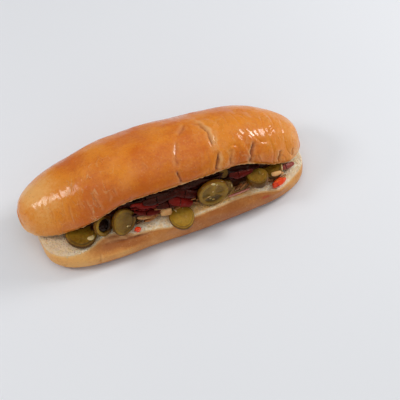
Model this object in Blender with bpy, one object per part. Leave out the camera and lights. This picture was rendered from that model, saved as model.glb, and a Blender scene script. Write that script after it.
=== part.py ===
"""A long soft roll, split lengthways, with pickled pepper slices, onions and meat.

The lower half, the heel, lies flat.  The upper half, the crown, rests on the heel at the back
and at both ends, and the filling holds its front edge up.
Frame: +X along the roll, -Y the open front, +Z up, origin under the middle of the base.
"""

import math
import random

import bmesh
import bpy
from mathutils import Matrix, Vector, noise
from mathutils.bvhtree import BVHTree

MM = 0.001

# The lower half of the roll
HEEL_LENGTH = 273 * MM
HEEL_WIDTH = 99 * MM
HEEL_MIDDLE = (5.5 * MM, 0.5 * MM)
CUT_LEVEL = 26 * MM           # height of its cut face
LEFT_DROOP = 6 * MM           # how much lower the cut face is at each end
RIGHT_DROOP = 8 * MM
HEEL_WIDEST = 14 * MM         # height of its widest level
HEEL_BELLY = 19 * MM          # how far its underside would sag if the table did not flatten it
HEEL_ROUND = 26 * MM          # how high its sides would go if they were not cut
LEFT_SWELL = 7.5 * MM         # how far the front of its left end swells forward

# The upper half of the roll
CROWN_LENGTH = 288 * MM
CROWN_WIDTH = 92 * MM
CROWN_DOME = 34.5 * MM        # from its widest level to its top
CROWN_TUCK = 6 * MM           # from its widest level down to its cut face
CROWN_ROUND = 15 * MM         # how far its sides would go down if they were not cut
LEFT_BEND = 6.5 * MM          # how far its left end bends backward

# How the crown sits on the filling
HINGE_Y = 49 * MM             # back edge of the cut, where the two halves touch
FRONT_TILT = 23.5             # degrees, in the middle of the roll
END_TILT = 4.0
CLEARANCE = 0.4 * MM
SWELL = 0.6 * MM              # room cut in the filling round each topping

# Exponents of the outlines: 2 is an ellipse, more is blunter
HEEL_OUTLINE = 3.2
CROWN_OUTLINE = 2.6
END_OUTLINE = 3.4
RIM_OUTLINE = 10.0
HEEL_SECTION = 3.3
CROWN_SECTION = 2.15

RING_SIDES = 28
CUT_SIDES = 8                 # of those, the sides that lie on the cut face
STATIONS = 44

# Folds across the crown: place along the loaf, how far each leans, and its depth
FOLDS = (
    (20.5 * MM, 0.42, 2.2 * MM),
    (63.5 * MM, 0.45, 1.8 * MM),
    (101 * MM, 0.50, 2.0 * MM),
)
FOLD_HALF_WIDTH = 1.8 * MM

# The filling: two layers that run right through the roll
FILLING_LEFT = -112 * MM
FILLING_RIGHT = 119 * MM
FILLING_BACK = 34 * MM
FILLING_FRONT = -34 * MM      # at the heel
MEAT_SHARE = 0.40             # of the height between the two cut faces
CORE_SIDES = 12
CORE_STATIONS = 24

STRIP_SIDES = 5
STRIP_STATIONS = 7
SLICE_SIDES = 16

PART = bpy.data.collections.new("filled_roll")


def clear_scene():
    """Empty the scene and link the part's collection."""
    for old in list(bpy.data.objects):
        bpy.data.objects.remove(old, do_unlink=True)
    bpy.context.scene.collection.children.link(PART)


def plain_finish(name, base_colour, roughness):
    """A plain material of one colour."""
    material = bpy.data.materials.new(name)
    material.use_nodes = True
    shader = material.node_tree.nodes["Principled BSDF"]
    shader.inputs["Base Color"].default_value = (*base_colour, 1.0)
    shader.inputs["Roughness"].default_value = roughness
    shader.inputs["Metallic"].default_value = 0.0
    return material


def add_object(bm, name, material):
    """Turn a bmesh into a smooth-shaded object of the part's collection."""
    bmesh.ops.recalc_face_normals(bm, faces=bm.faces)
    if bm.calc_volume(signed=True) < 0:
        bmesh.ops.reverse_faces(bm, faces=bm.faces)
    mesh = bpy.data.meshes.new(name)
    bm.to_mesh(mesh)
    bm.free()
    mesh.polygons.foreach_set("use_smooth", [True] * len(mesh.polygons))
    mesh.materials.append(material)
    made = bpy.data.objects.new(name, mesh)
    PART.objects.link(made)
    return made


def girth(station, exponent):
    """Half-width of a superellipse at a station from -1 to 1."""
    return max(0.0, 1 - abs(station) ** exponent) ** (1 / exponent)


def power_turn(value, exponent):
    """A cosine or sine of the turn of a superellipse."""
    return math.copysign(abs(value) ** (2 / exponent), value)


def hill(value, width):
    """A bell curve of height 1 round 0, with that half-width."""
    return math.exp(-(value / width) ** 2)


def smoothstep(low, high, value):
    """0 below low, 1 above high, and a smooth ramp between."""
    share = min(1.0, max(0.0, (value - low) / (high - low)))
    return share * share * (3 - 2 * share)


def bumps(point, size, depth, seed):
    """Smooth uneven heights, the same at each run."""
    return depth * noise.noise(Vector(point) / size + Vector((seed * 7.1, seed * 3.7, seed * 1.3)))


def cut_loaf(length, width, tuck, tuck_round, swell, section, outline):
    """Half a loaf along X, its flat cut face upward and its widest level at height 0.

    The cut face is tuck above the widest level, and the crust swells out on the other side.
    A ring starts at the back edge of the cut, crosses the cut face and comes round the crust.
    """
    bm = bmesh.new()
    bmesh.ops.create_uvsphere(bm, u_segments=RING_SIDES, v_segments=STATIONS, radius=1.0)
    start = math.asin(tuck / tuck_round)
    for vert in bm.verts:
        across, upward, along = vert.co
        reach = min(1.0, math.hypot(across, upward))
        number = 0
        if reach > 1e-5:
            number = round(math.atan2(upward, across) / (2 * math.pi) * RING_SIDES) % RING_SIDES
        if number <= CUT_SIDES:
            side = math.cos(start) * math.cos(math.pi * number / CUT_SIDES)
            height = tuck
        else:
            share = (number - CUT_SIDES) / (RING_SIDES - CUT_SIDES)
            turn = (math.pi - start) + share * (math.pi + 2 * start)
            if math.sin(turn) > 0:
                side = math.cos(turn)
                height = tuck_round * math.sin(turn)
            else:
                side = power_turn(math.cos(turn), section)
                height = swell * power_turn(math.sin(turn), section)
        station = power_turn(along, outline)
        plan = reach ** (2 / outline)
        height *= girth(station, RIM_OUTLINE if height > 0 else END_OUTLINE)
        vert.co = Vector((station * length / 2, side * plan * width / 2, height))
    return bm


def cut_level(x):
    """Height of the heel's cut face, which droops at both ends."""
    left = LEFT_DROOP * smoothstep(50 * MM, 140 * MM, -x)
    right = RIGHT_DROOP * smoothstep(60 * MM, 135 * MM, x)
    return CUT_LEVEL - left - right


def heel_point(point):
    """A point of the lower loaf where it lies on the table."""
    x, y, z = point
    x += HEEL_MIDDLE[0]
    height = (z + HEEL_WIDEST) * cut_level(x) / CUT_LEVEL
    return Vector((x, y + HEEL_MIDDLE[1], height))


def crown_tilt(x):
    """Tilt of the crown in radians: full over the filling, little at the ends."""
    left = smoothstep(-136 * MM, -40 * MM, x)
    right = 1 - smoothstep(58 * MM, 146 * MM, x)
    return math.radians(END_TILT + (FRONT_TILT - END_TILT) * left * right)


def dome_swell(x):
    """How much higher or lower the crown's dome stands than its even height."""
    left = 0.08 * hill(x + 98 * MM, 36 * MM)
    middle = 0.04 * hill(x + 12 * MM, 36 * MM)
    waist = 0.06 * hill(x - 62 * MM, 30 * MM)
    right = 0.08 * hill(x - 114 * MM, 26 * MM)
    return 1 + left + middle - waist + right


def back_swell(x):
    """How far the back of the crown's dome bulges out."""
    middle = 1.2 * MM * hill(x + 12 * MM, 36 * MM)
    waist = 1.6 * MM * hill(x - 62 * MM, 30 * MM)
    right = 1.6 * MM * hill(x - 114 * MM, 24 * MM)
    return middle - waist + right


def crown_point(point):
    """A point of the upper loaf: turned over onto the heel, and tilted about the hinge."""
    x, y, z = point
    bend = LEFT_BEND * smoothstep(72 * MM, 128 * MM, -x)
    across = y - math.sqrt(1 - (CROWN_TUCK / CROWN_ROUND) ** 2) * CROWN_WIDTH / 2
    above = CROWN_TUCK - z
    tilt = crown_tilt(x)
    return Vector((
        x,
        HINGE_Y + bend + across * math.cos(tilt) + above * math.sin(tilt),
        cut_level(x) + CLEARANCE - across * math.sin(tilt) + above * math.cos(tilt),
    ))


def crown_under(x, y):
    """Height of the crown's cut face above the base."""
    return cut_level(x) + CLEARANCE + (HINGE_Y - y) * math.tan(crown_tilt(x))


def press_folds(bm):
    """Press narrow folds across the domed side of a loaf whose cut face is upward."""
    for place, lean, depth in FOLDS:
        middle = []
        for offset in (-FOLD_HALF_WIDTH, 0.0, FOLD_HALF_WIDTH):
            origin = Vector((place + offset, 0.0, 0.0))
            normal = Vector((1.0, -lean, 0.0)).normalized()
            geometry = bm.verts[:] + bm.edges[:] + bm.faces[:]
            cut = bmesh.ops.bisect_plane(
                bm, geom=geometry, dist=1e-6, plane_co=origin, plane_no=normal)
            if offset == 0.0:
                middle = [piece for piece in cut["geom_cut"] if isinstance(piece, bmesh.types.BMVert)]
        for vert in middle:
            if not vert.is_valid or vert.co.z > -1 * MM:
                continue
            outward = Vector((0.0, vert.co.y, vert.co.z))
            front = smoothstep(0.35, -0.35, vert.co.y / (CROWN_WIDTH / 2))
            vert.co -= outward.normalized() * depth * front


def rim_push(x):
    """How far the front rim of the heel lies behind its even line."""
    sunken = 12 * MM * hill(x + 72 * MM, 20 * MM)
    middle = 4 * MM * hill(x + 8 * MM, 14 * MM)
    waist = 3 * MM * hill(x - 58 * MM, 18 * MM)
    right = 4.5 * MM * hill(x - 106 * MM, 14 * MM)
    return sunken - middle + waist - right


def build_heel(material):
    """The lower half of the roll, with a sunken length in its front rim."""
    tuck = CUT_LEVEL - HEEL_WIDEST
    bm = cut_loaf(HEEL_LENGTH, HEEL_WIDTH, tuck, HEEL_ROUND, HEEL_BELLY, HEEL_SECTION,
                  HEEL_OUTLINE)
    for vert in bm.verts:
        vert.co.z = max(vert.co.z, -HEEL_WIDEST)
        height = vert.co.z
        vert.co = heel_point(vert.co)
        near_rim = smoothstep(0, tuck, height) * smoothstep(-10 * MM, -42 * MM, vert.co.y)
        left_end = smoothstep(30 * MM, 120 * MM, -vert.co.x) * smoothstep(30 * MM, -20 * MM, vert.co.y)
        vert.co.y += (rim_push(vert.co.x) + bumps((vert.co.x, 0, 0), 17 * MM, 1.0 * MM, 4)) * near_rim
        vert.co.y -= LEFT_SWELL * left_end
        vert.co.y += bumps(vert.co, 30 * MM, 1.0 * MM, 1)
    return add_object(bm, "heel", material)


def build_crown(material):
    """The upper half of the roll."""
    bm = cut_loaf(CROWN_LENGTH, CROWN_WIDTH, CROWN_TUCK, CROWN_ROUND, CROWN_DOME, CROWN_SECTION,
                  CROWN_OUTLINE)
    press_folds(bm)
    for vert in bm.verts:
        if vert.co.z < 0:
            vert.co.z += bumps(vert.co, 34 * MM, 1.4 * MM, 2)
            vert.co.z *= dome_swell(vert.co.x)
            upper_back = smoothstep(2 * MM, 18 * MM, -vert.co.z) * smoothstep(-20 * MM, 24 * MM, vert.co.y)
            vert.co.y += back_swell(vert.co.x) * upper_back
        vert.co = crown_point(vert.co)
    return add_object(bm, "crown", material)


def filling_room(x, y, low_share, high_share):
    """Lower and upper height of a layer between the two cut faces."""
    floor = cut_level(x) + CLEARANCE
    ceiling = crown_under(x, y) - 3 * CLEARANCE
    room = ceiling - floor
    return floor + room * low_share, floor + room * high_share


def filling_core(low_share, high_share, front, lean, seed):
    """A layer of the filling, pole to pole along the roll, with an uneven front."""
    bm = bmesh.new()
    bmesh.ops.create_uvsphere(bm, u_segments=CORE_SIDES, v_segments=CORE_STATIONS, radius=1.0)
    middle_x = (FILLING_LEFT + FILLING_RIGHT) / 2
    half_length = (FILLING_RIGHT - FILLING_LEFT) / 2
    for vert in bm.verts:
        across, upward, along = vert.co
        reach = min(1.0, math.hypot(across, upward))
        x = middle_x + power_turn(along, 4.0) * half_length
        plan = reach ** 0.5
        side = power_turn(across / reach, 4.0) if reach > 1e-5 else 0.0
        level = power_turn(upward / reach, 4.0) if reach > 1e-5 else 0.0
        middle_y = (FILLING_BACK + front) / 2
        y = middle_y + side * plan * (FILLING_BACK - front) / 2
        if side < 0:
            y += bumps((x, level * 9 * MM, 0), 11 * MM, 4.0 * MM, seed) - lean * (level + 1) / 2 * side
        low, high = filling_room(x, y, low_share, high_share)
        thickness = (high - low) / 2
        z = (low + high) / 2 + level * min(1.0, plan * 1.2) * thickness
        vert.co = Vector((x, y, z))
    return bm


def strip(length, width, thickness, bend):
    """A limp strip along X, tapered at its ends and bent in its own plane by bend radians."""
    bm = bmesh.new()
    bmesh.ops.create_uvsphere(bm, u_segments=STRIP_SIDES, v_segments=STRIP_STATIONS, radius=1.0)
    for vert in bm.verts:
        across, upward, along = vert.co
        share = math.asin(max(-1.0, min(1.0, along))) / (math.pi / 2)
        x = share * length / 2
        y = across * thickness / 2
        z = upward * width / 2
        if abs(bend) > 1e-3:
            radius = length / bend
            turn = x / radius
            x, z = (radius - z) * math.sin(turn), radius - (radius - z) * math.cos(turn)
        vert.co = Vector((x, y, z))
    return bm


def place(bm, centre, heading, pitch, roll):
    """Turn a piece about X, then Y, then Z, in degrees, and move it to its centre."""
    turn = Matrix.Rotation(math.radians(heading), 4, "Z")
    turn = turn @ Matrix.Rotation(math.radians(pitch), 4, "Y")
    turn = turn @ Matrix.Rotation(math.radians(roll), 4, "X")
    bmesh.ops.transform(bm, matrix=Matrix.Translation(centre) @ turn, verts=bm.verts)


def slip_between_halves(bm):
    """Shift a piece up or down between the two halves of the roll, if it fits there."""
    over = 0.0
    under = 0.0
    for vert in bm.verts:
        low, high = filling_room(vert.co.x, vert.co.y, 0.0, 1.0)
        over = max(over, vert.co.z - high)
        under = max(under, low - vert.co.z)
    bmesh.ops.translate(bm, vec=(0, 0, under - over), verts=bm.verts)
    return over < 1e-6 or under < 1e-6


def slip_into(bm, core_tree):
    """Shift a piece backward until it is well stuck in the core."""
    for _step in range(9):
        if len(BVHTree.FromBMesh(bm).overlap(core_tree)) > 8:
            return True
        bmesh.ops.translate(bm, vec=(0, 1 * MM, 0), verts=bm.verts)
    return False


def tree_of(piece):
    """A search tree over the faces of an object, whose mesh is already in place."""
    return BVHTree.FromPolygons(
        [vert.co.copy() for vert in piece.data.vertices],
        [tuple(face.vertices) for face in piece.data.polygons],
    )


def clear_of(bm, trees, room):
    """Whether every point of a piece is at least room away from other pieces."""
    for tree in trees:
        if BVHTree.FromBMesh(bm).overlap(tree):
            return False
        for vert in bm.verts:
            if tree.find_nearest(vert.co, room)[0] is not None:
                return False
    return True


def pepper_slice(name, material, centre, facing, radius, thickness, dish):
    """A round slice of pickled pepper: domed skin round its edge, and a sunken face.

    facing is the compass turn and the elevation of its face, in degrees, 0 0 being the front.
    """
    bm = bmesh.new()
    bmesh.ops.create_cone(
        bm, cap_ends=True, segments=SLICE_SIDES, radius1=radius, radius2=radius, depth=thickness)
    rims = [edge for edge in bm.edges if len(edge.link_faces) == 2
            and any(len(face.verts) > 4 for face in edge.link_faces)]
    bmesh.ops.bevel(bm, geom=rims, offset=thickness * 0.28, offset_type="OFFSET", segments=1,
                    profile=0.5, affect="EDGES", clamp_overlap=True, material=-1)
    for face in [face for face in bm.faces if len(face.verts) > 4]:
        normal = face.normal.copy()
        bmesh.ops.inset_region(bm, faces=[face], thickness=radius * 0.22, depth=0.0,
                               use_even_offset=True)
        for vert in face.verts:
            vert.co -= normal * dish
    for vert in bm.verts:
        turn = math.atan2(vert.co.y, vert.co.x)
        swell = 1 + 0.03 * math.sin(2 * turn + radius * 900) + 0.02 * math.sin(3 * turn)
        vert.co.x *= swell
        vert.co.y *= swell
        vert.co.z += 0.02 * radius * math.sin(2 * turn + 1)
    compass, elevation = facing
    face_up = Matrix.Rotation(math.radians(compass), 4, "Z")
    face_up = face_up @ Matrix.Rotation(math.radians(90 - elevation), 4, "X")
    bmesh.ops.transform(bm, matrix=Matrix.Translation(centre) @ face_up, verts=bm.verts)
    return add_object(bm, name, material)


def lump(centre, size, heading, seed):
    """A small uneven piece as a bmesh."""
    bm = bmesh.new()
    bmesh.ops.create_icosphere(bm, subdivisions=2, radius=0.5)
    for vert in bm.verts:
        vert.co *= 1 + bumps(vert.co, 0.45, 0.35, seed)
        vert.co = Vector((vert.co.x * size[0], vert.co.y * size[1], vert.co.z * size[2]))
    place(bm, centre, heading, 0, 0)
    return bm


def set_strips(strips, core_tree):
    """The strips that have a place of their own."""
    made = []
    for centre, size, bend, turn in strips:
        bm = strip(*[side * MM for side in size], bend)
        place(bm, Vector(centre) * MM, *turn)
        slip_between_halves(bm)
        slip_into(bm, core_tree)
        made.append(bm)
    return made


def scattered_strips(count, seed, spread, length, width, thickness, heights, core_tree, blocked):
    """Strips along the open front of a core, each clear of the pieces in blocked."""
    chance = random.Random(seed)
    made = []
    for number in range(count):
        for _attempt in range(12):
            share = (number + chance.random()) / count
            x = spread[0] + (spread[1] - spread[0]) * share
            bm = strip(chance.uniform(*length), chance.uniform(*width),
                       chance.uniform(*thickness), chance.uniform(-1.5, 1.5))
            level = chance.uniform(*heights)
            low, high = filling_room(x, FILLING_FRONT, 0.0, 1.0)
            z = low + (high - low) * level
            y = FILLING_FRONT + 5.0 * MM * level + chance.uniform(-1.5, 2.0) * MM
            place(bm, (x, y, z), chance.uniform(-24, 24), chance.uniform(-38, 38),
                  chance.uniform(-55, 35))
            fits = slip_between_halves(bm) and slip_into(bm, core_tree)
            if fits and clear_of(bm, blocked, 0.5 * MM):
                made.append(bm)
                break
            bm.free()
    return made


def apply_boolean(body, operation, pieces):
    """Join a set of objects to a body, or cut them from it, and remove them."""
    tools = bpy.data.collections.new(body.name + "_" + operation.lower())
    bpy.context.scene.collection.children.link(tools)
    for piece in pieces:
        PART.objects.unlink(piece)
        tools.objects.link(piece)
    boolean = body.modifiers.new("boolean", "BOOLEAN")
    boolean.operation = operation
    boolean.operand_type = "COLLECTION"
    boolean.collection = tools
    boolean.solver = "MANIFOLD"
    bpy.context.view_layer.update()
    evaluated = body.evaluated_get(bpy.context.evaluated_depsgraph_get())
    result = bpy.data.meshes.new_from_object(evaluated)
    body.modifiers.clear()
    body.data = result
    for piece in list(tools.objects):
        bpy.data.objects.remove(piece, do_unlink=True)
    bpy.data.collections.remove(tools)


def keep_largest(body):
    """Drop the small bits that a cut left loose."""
    bm = bmesh.new()
    bm.from_mesh(body.data)
    waiting = set(bm.verts)
    islands = []
    while waiting:
        island = {waiting.pop()}
        edge_of_island = set(island)
        while edge_of_island:
            reached = {edge.other_vert(vert) for vert in edge_of_island for edge in vert.link_edges}
            edge_of_island = reached - island
            island |= edge_of_island
        waiting -= island
        islands.append(island)
    islands.sort(key=len)
    for island in islands[:-1]:
        bmesh.ops.delete(bm, geom=list(island), context="VERTS")
    bm.to_mesh(body.data)
    bm.free()


def fuse(name, core, pieces, material, neighbours):
    """One solid from a core and the pieces that stand out of it, clear of its neighbours."""
    body = add_object(core, name, material)
    apply_boolean(body, "UNION", [
        add_object(bm, name + "_piece_" + str(number), material)
        for number, bm in enumerate(pieces)
    ])
    swollen = []
    for neighbour, room in neighbours:
        bm = bmesh.new()
        bm.from_mesh(neighbour.data)
        bm.normal_update()
        for vert in bm.verts:
            vert.co += vert.normal * room * vert.calc_shell_factor()
        swollen.append(add_object(bm, neighbour.name + "_room", material))
    apply_boolean(body, "DIFFERENCE", swollen)
    keep_largest(body)
    return body


clear_scene()
HEEL = build_heel(plain_finish("heel_crust", (0.72, 0.45, 0.20), 0.6))
CROWN = build_crown(plain_finish("crown_crust", (0.62, 0.30, 0.10), 0.45))

PEPPER = plain_finish("pickled_pepper", (0.30, 0.28, 0.06), 0.25)
SLICES = (
    ("pepper_slice_1", (-94.6, -24.4, 28.5), (8, 81), 15.2, 4.0, 0.5),
    ("pepper_slice_2", (-73.4, -28.3, 36.6), (28, 22), 11.3, 4.2, 0.8),
    ("pepper_slice_3", (-54.9, -34.0, 39.9), (15, 26), 13.2, 4.4, 0.9),
    ("pepper_slice_4", (-42.8, -24.9, 38.4), (24, 24), 11.0, 3.6, 0.7),
    ("pepper_slice_5", (0.6, -43.4, 28.8), (4, 86), 13.0, 3.4, 0.6),
    ("pepper_slice_6", (35.9, -35.8, 41.3), (-3, 13), 15.2, 4.4, 1.0),
    ("pepper_slice_7", (48.6, -31.6, 36.4), (6, 16), 9.8, 3.4, 0.6),
    ("pepper_slice_8", (50.4, -24.8, 52.2), (-10, 35), 5.4, 2.9, 0.3),
    ("pepper_slice_9", (83.1, -33.8, 38.0), (-4, 98), 11.0, 8.0, 0.6),
    ("pepper_slice_10", (102.9, -23.4, 30.2), (-12, 84), 11.4, 3.4, 0.4),
)
TOPPINGS = [
    pepper_slice(name, PEPPER, Vector(centre) * MM, facing, radius * MM, thickness * MM, dish * MM)
    for name, centre, facing, radius, thickness, dish in SLICES
]
RED_PEPPER = plain_finish("red_pepper", (0.70, 0.08, 0.03), 0.3)
RED_LARGE = lump(Vector((104.2, -38.2, 25.0)) * MM, (16 * MM, 7.0 * MM, 6.6 * MM), 20, 5)
TOPPINGS.append(add_object(RED_LARGE, "red_pepper_large", RED_PEPPER))
RED_SMALL = lump(Vector((-43.4, -40.3, 29.2)) * MM, (6.4 * MM, 4.6 * MM, 5.6 * MM), -20, 9)
TOPPINGS.append(add_object(RED_SMALL, "red_pepper_small", RED_PEPPER))
SET_STRIPS = (
    ((-103.0, -20.0, 31.0), (34, 6, 2.4), 0.4, (12, -4, 60)),
    ((119.5, -22.5, 26.0), (17, 5, 2.4), 0.5, (24, 6, -30)),
)

BLOCKED = [tree_of(piece) for piece in TOPPINGS]
NEIGHBOURS = [(piece, SWELL) for piece in TOPPINGS]
MEAT_CORE = filling_core(0.0, MEAT_SHARE, FILLING_FRONT, 3 * MM, 3)
MEAT_TREE = BVHTree.FromBMesh(MEAT_CORE)
MEAT_PIECES = scattered_strips(11, 21, (-66 * MM, 116 * MM), (14 * MM, 24 * MM),
                               (4 * MM, 6.5 * MM), (3 * MM, 4.5 * MM), (0.10, 0.36),
                               MEAT_TREE, BLOCKED)
MEAT_PIECES.append(lump(Vector((-12.6, -32.6, 33.0)) * MM, (13 * MM, 8 * MM, 11 * MM), -12, 14))
MEAT_PIECES.append(lump(Vector((104.0, -30.0, 26.4)) * MM, (17 * MM, 6 * MM, 6 * MM), 8, 17))
MEAT = fuse("meat", MEAT_CORE, MEAT_PIECES, plain_finish("cooked_meat", (0.42, 0.22, 0.10), 0.5),
            NEIGHBOURS)
BLOCKED.append(tree_of(MEAT))
ONION_CORE = filling_core(MEAT_SHARE + 0.02, 1.0, FILLING_FRONT + 3 * MM, 4 * MM, 6)
ONION_TREE = BVHTree.FromBMesh(ONION_CORE)
ONION_PIECES = scattered_strips(18, 8, (-96 * MM, 112 * MM), (18 * MM, 34 * MM),
                                (4 * MM, 7 * MM), (2.2 * MM, 3.0 * MM), (0.50, 0.93),
                                ONION_TREE, BLOCKED)
ONION_PIECES += set_strips(SET_STRIPS, ONION_TREE)
ONIONS = fuse("onions", ONION_CORE, ONION_PIECES, plain_finish("red_onion", (0.16, 0.02, 0.03), 0.25),
              NEIGHBOURS + [(MEAT, SWELL), (CROWN, CLEARANCE)])

STRAND = strip(27 * MM, 2.6 * MM, 2.2 * MM, 0.5)
place(STRAND, Vector((63.0, -36.0, 27.9)) * MM, 3, 0, 80)
while not clear_of(STRAND, [tree_of(piece) for piece in [MEAT, ONIONS] + TOPPINGS], CLEARANCE):
    bmesh.ops.translate(STRAND, vec=(0, -0.5 * MM, 0), verts=STRAND.verts)
add_object(STRAND, "onion_strand", plain_finish("pale_onion", (0.55, 0.30, 0.24), 0.3))
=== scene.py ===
"""Looks of a long soft roll, split lengthways and filled with pickled pepper, onions and meat.

Frame: +X along the roll, -Y the open front, +Z up, origin under the middle of the base, metres.
"""

from __future__ import annotations

import logging
import math
import random
from dataclasses import dataclass
from enum import Enum
from typing import Iterable, Sequence, Union

import bmesh
import bpy
import numpy as np
from mathutils import Matrix, Vector, noise
from mathutils.bvhtree import BVHTree

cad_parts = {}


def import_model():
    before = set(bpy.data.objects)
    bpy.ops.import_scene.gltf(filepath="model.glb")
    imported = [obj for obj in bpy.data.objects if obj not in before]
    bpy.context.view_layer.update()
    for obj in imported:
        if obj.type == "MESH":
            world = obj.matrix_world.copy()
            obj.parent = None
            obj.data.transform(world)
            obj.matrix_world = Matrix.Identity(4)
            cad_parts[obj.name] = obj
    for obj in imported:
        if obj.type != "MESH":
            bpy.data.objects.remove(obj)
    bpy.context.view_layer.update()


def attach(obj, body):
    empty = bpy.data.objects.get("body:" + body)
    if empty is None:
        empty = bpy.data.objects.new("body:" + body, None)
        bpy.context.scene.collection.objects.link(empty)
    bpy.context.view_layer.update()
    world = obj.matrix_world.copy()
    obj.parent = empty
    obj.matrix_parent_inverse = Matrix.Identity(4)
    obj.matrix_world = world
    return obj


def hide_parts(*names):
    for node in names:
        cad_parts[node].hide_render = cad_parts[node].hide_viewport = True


MM = 0.001
LOG = logging.getLogger("filled_roll")

Colour = tuple[float, float, float]
Number = Union[float, np.ndarray]
Point = tuple[float, float, float]
Span = tuple[float, float]

# The view of the photograph: its right, its up and the way back to the camera
VIEW_RIGHT = Vector((0.92454603, -0.38107038, 0.0))
VIEW_UP = Vector((0.31023531, 0.75268727, 0.58070296))
VIEW_BACK = Vector((-0.22128869, -0.53688661, 0.81411552))
VIEW_PLACE = Vector((-0.29543, -0.80688, 1.20550))

# How far each next seed moves through the noise
SEED_STEP = (7.1, 3.7, 1.3)


def paint(red: int, green: int, blue: int) -> Colour:
    """Linear colour of an ordinary 0 to 255 screen colour.

    Args:
        red: Red part.
        green: Green part.
        blue: Blue part.

    Returns:
        The colour as the shaders take it.
    """
    parts = [part / 255 for part in (red, green, blue)]
    return tuple(part / 12.92 if part < 0.04045 else ((part + 0.055) / 1.055) ** 2.4 for part in parts)


def smoothstep(low: float, high: float, value: Number) -> Number:
    """A smooth ramp.

    Args:
        low: Where the ramp starts.
        high: Where it ends.
        value: One value or an array of them.

    Returns:
        0 before low, 1 past high, and a smooth share between.
    """
    share = np.clip((value - low) / (high - low), 0.0, 1.0)
    return share * share * (3 - 2 * share)


def hill(value: Number, width: float) -> Number:
    """A bell curve of height 1 round 0, with that half-width."""
    return np.exp(-((value / width) ** 2))


def girth(station: Number, exponent: Number) -> Number:
    """Half-width of a superellipse at stations from -1 to 1."""
    return np.maximum(0.0, 1 - np.abs(station) ** exponent) ** (1 / exponent)


def power_turn(value: Number, exponent: float) -> Number:
    """A cosine or sine of the turn of a superellipse."""
    return np.copysign(np.abs(value) ** (2 / exponent), value)


def bumps(point: Sequence[float], size: float, depth: float, seed: int) -> float:
    """Smooth uneven height at one point, the same at each run."""
    return depth * noise.noise(Vector(point) / size + Vector([seed * step for step in SEED_STEP]))


def uneven(points: np.ndarray, size: Union[float, Point], seed: int) -> np.ndarray:
    """Smooth noise from about -1 to 1 at many points.

    Args:
        points: One row a point, in metres.
        size: Size of the bumps, or one size for each axis.
        seed: Which noise.

    Returns:
        One value a point.
    """
    moved = points / np.asarray(size) + seed * np.array(SEED_STEP)
    return np.fromiter((noise.noise(row) for row in moved.tolist()), float, len(moved))


@dataclass(frozen=True)
class Unevenness:
    """Smooth bumps: their depth in millimetres, their size in metres, and which noise they follow."""

    depth: float
    size: Union[float, Point]
    seed: int

    def at(self, points: np.ndarray) -> np.ndarray:
        """Their height at many points, in millimetres."""
        return self.depth * uneven(points, self.size, self.seed)


def read_points(mesh: bpy.types.Mesh) -> np.ndarray:
    """The places of a mesh's vertices, one row each.

    Args:
        mesh: The mesh.

    Returns:
        One row a vertex.
    """
    points = np.empty(len(mesh.vertices) * 3)
    mesh.vertices.foreach_get("co", points)
    return points.reshape(-1, 3)


def write_points(mesh: bpy.types.Mesh, points: np.ndarray) -> None:
    """Move a mesh's vertices to these places."""
    mesh.vertices.foreach_set("co", points.ravel())
    mesh.update()


def read_normals(mesh: bpy.types.Mesh) -> np.ndarray:
    """The outward directions at a mesh's vertices, one row each.

    Args:
        mesh: The mesh.

    Returns:
        One row a vertex.
    """
    normals = np.empty(len(mesh.vertices) * 3)
    mesh.vertex_normals.foreach_get("vector", normals)
    return normals.reshape(-1, 3)


def note(mesh: bpy.types.Mesh, **notes: np.ndarray) -> None:
    """Keep numbers of each vertex on the mesh, for its material.

    Args:
        mesh: The mesh.
        notes: The numbers, by the name that the material reads them with.
    """
    for name, values in notes.items():
        layer = mesh.attributes.new(name, "FLOAT", "POINT")
        layer.data.foreach_set("value", np.asarray(values, np.float32))


def finish_piece(mesh: bpy.types.Mesh, name: str, material: bpy.types.Material,
                 nodes: Sequence[str] = ()) -> bpy.types.Object:
    """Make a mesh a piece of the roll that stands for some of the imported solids.

    Args:
        mesh: The mesh, already in place.
        name: Name of the piece.
        material: Its finish.
        nodes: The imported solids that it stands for.

    Returns:
        The piece, riding on the roll.
    """
    mesh.polygons.foreach_set("use_smooth", [True] * len(mesh.polygons))
    mesh.materials.clear()
    mesh.materials.append(material)
    mesh.name = name
    piece = bpy.data.objects.new(name, mesh)
    bpy.context.scene.collection.objects.link(piece)
    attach(piece, "root")
    if nodes:
        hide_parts(*nodes)
    LOG.info("%s: %d faces", name, len(mesh.polygons))
    return piece


def mesh_of(bm: bmesh.types.BMesh, name: str) -> bpy.types.Mesh:
    """Turn a bmesh of closed shapes into a mesh whose faces point outwards.

    Args:
        bm: The shapes, which are freed.
        name: Name of the mesh.

    Returns:
        The mesh.
    """
    bmesh.ops.recalc_face_normals(bm, faces=bm.faces)
    mesh = bpy.data.meshes.new(name)
    bm.to_mesh(mesh)
    bm.free()
    return mesh


# Materials

# Tint of the shine on wet food, which mirrors the warm crust round it
WARM_SHINE: Colour = (1.0, 0.72, 0.5)


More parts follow.
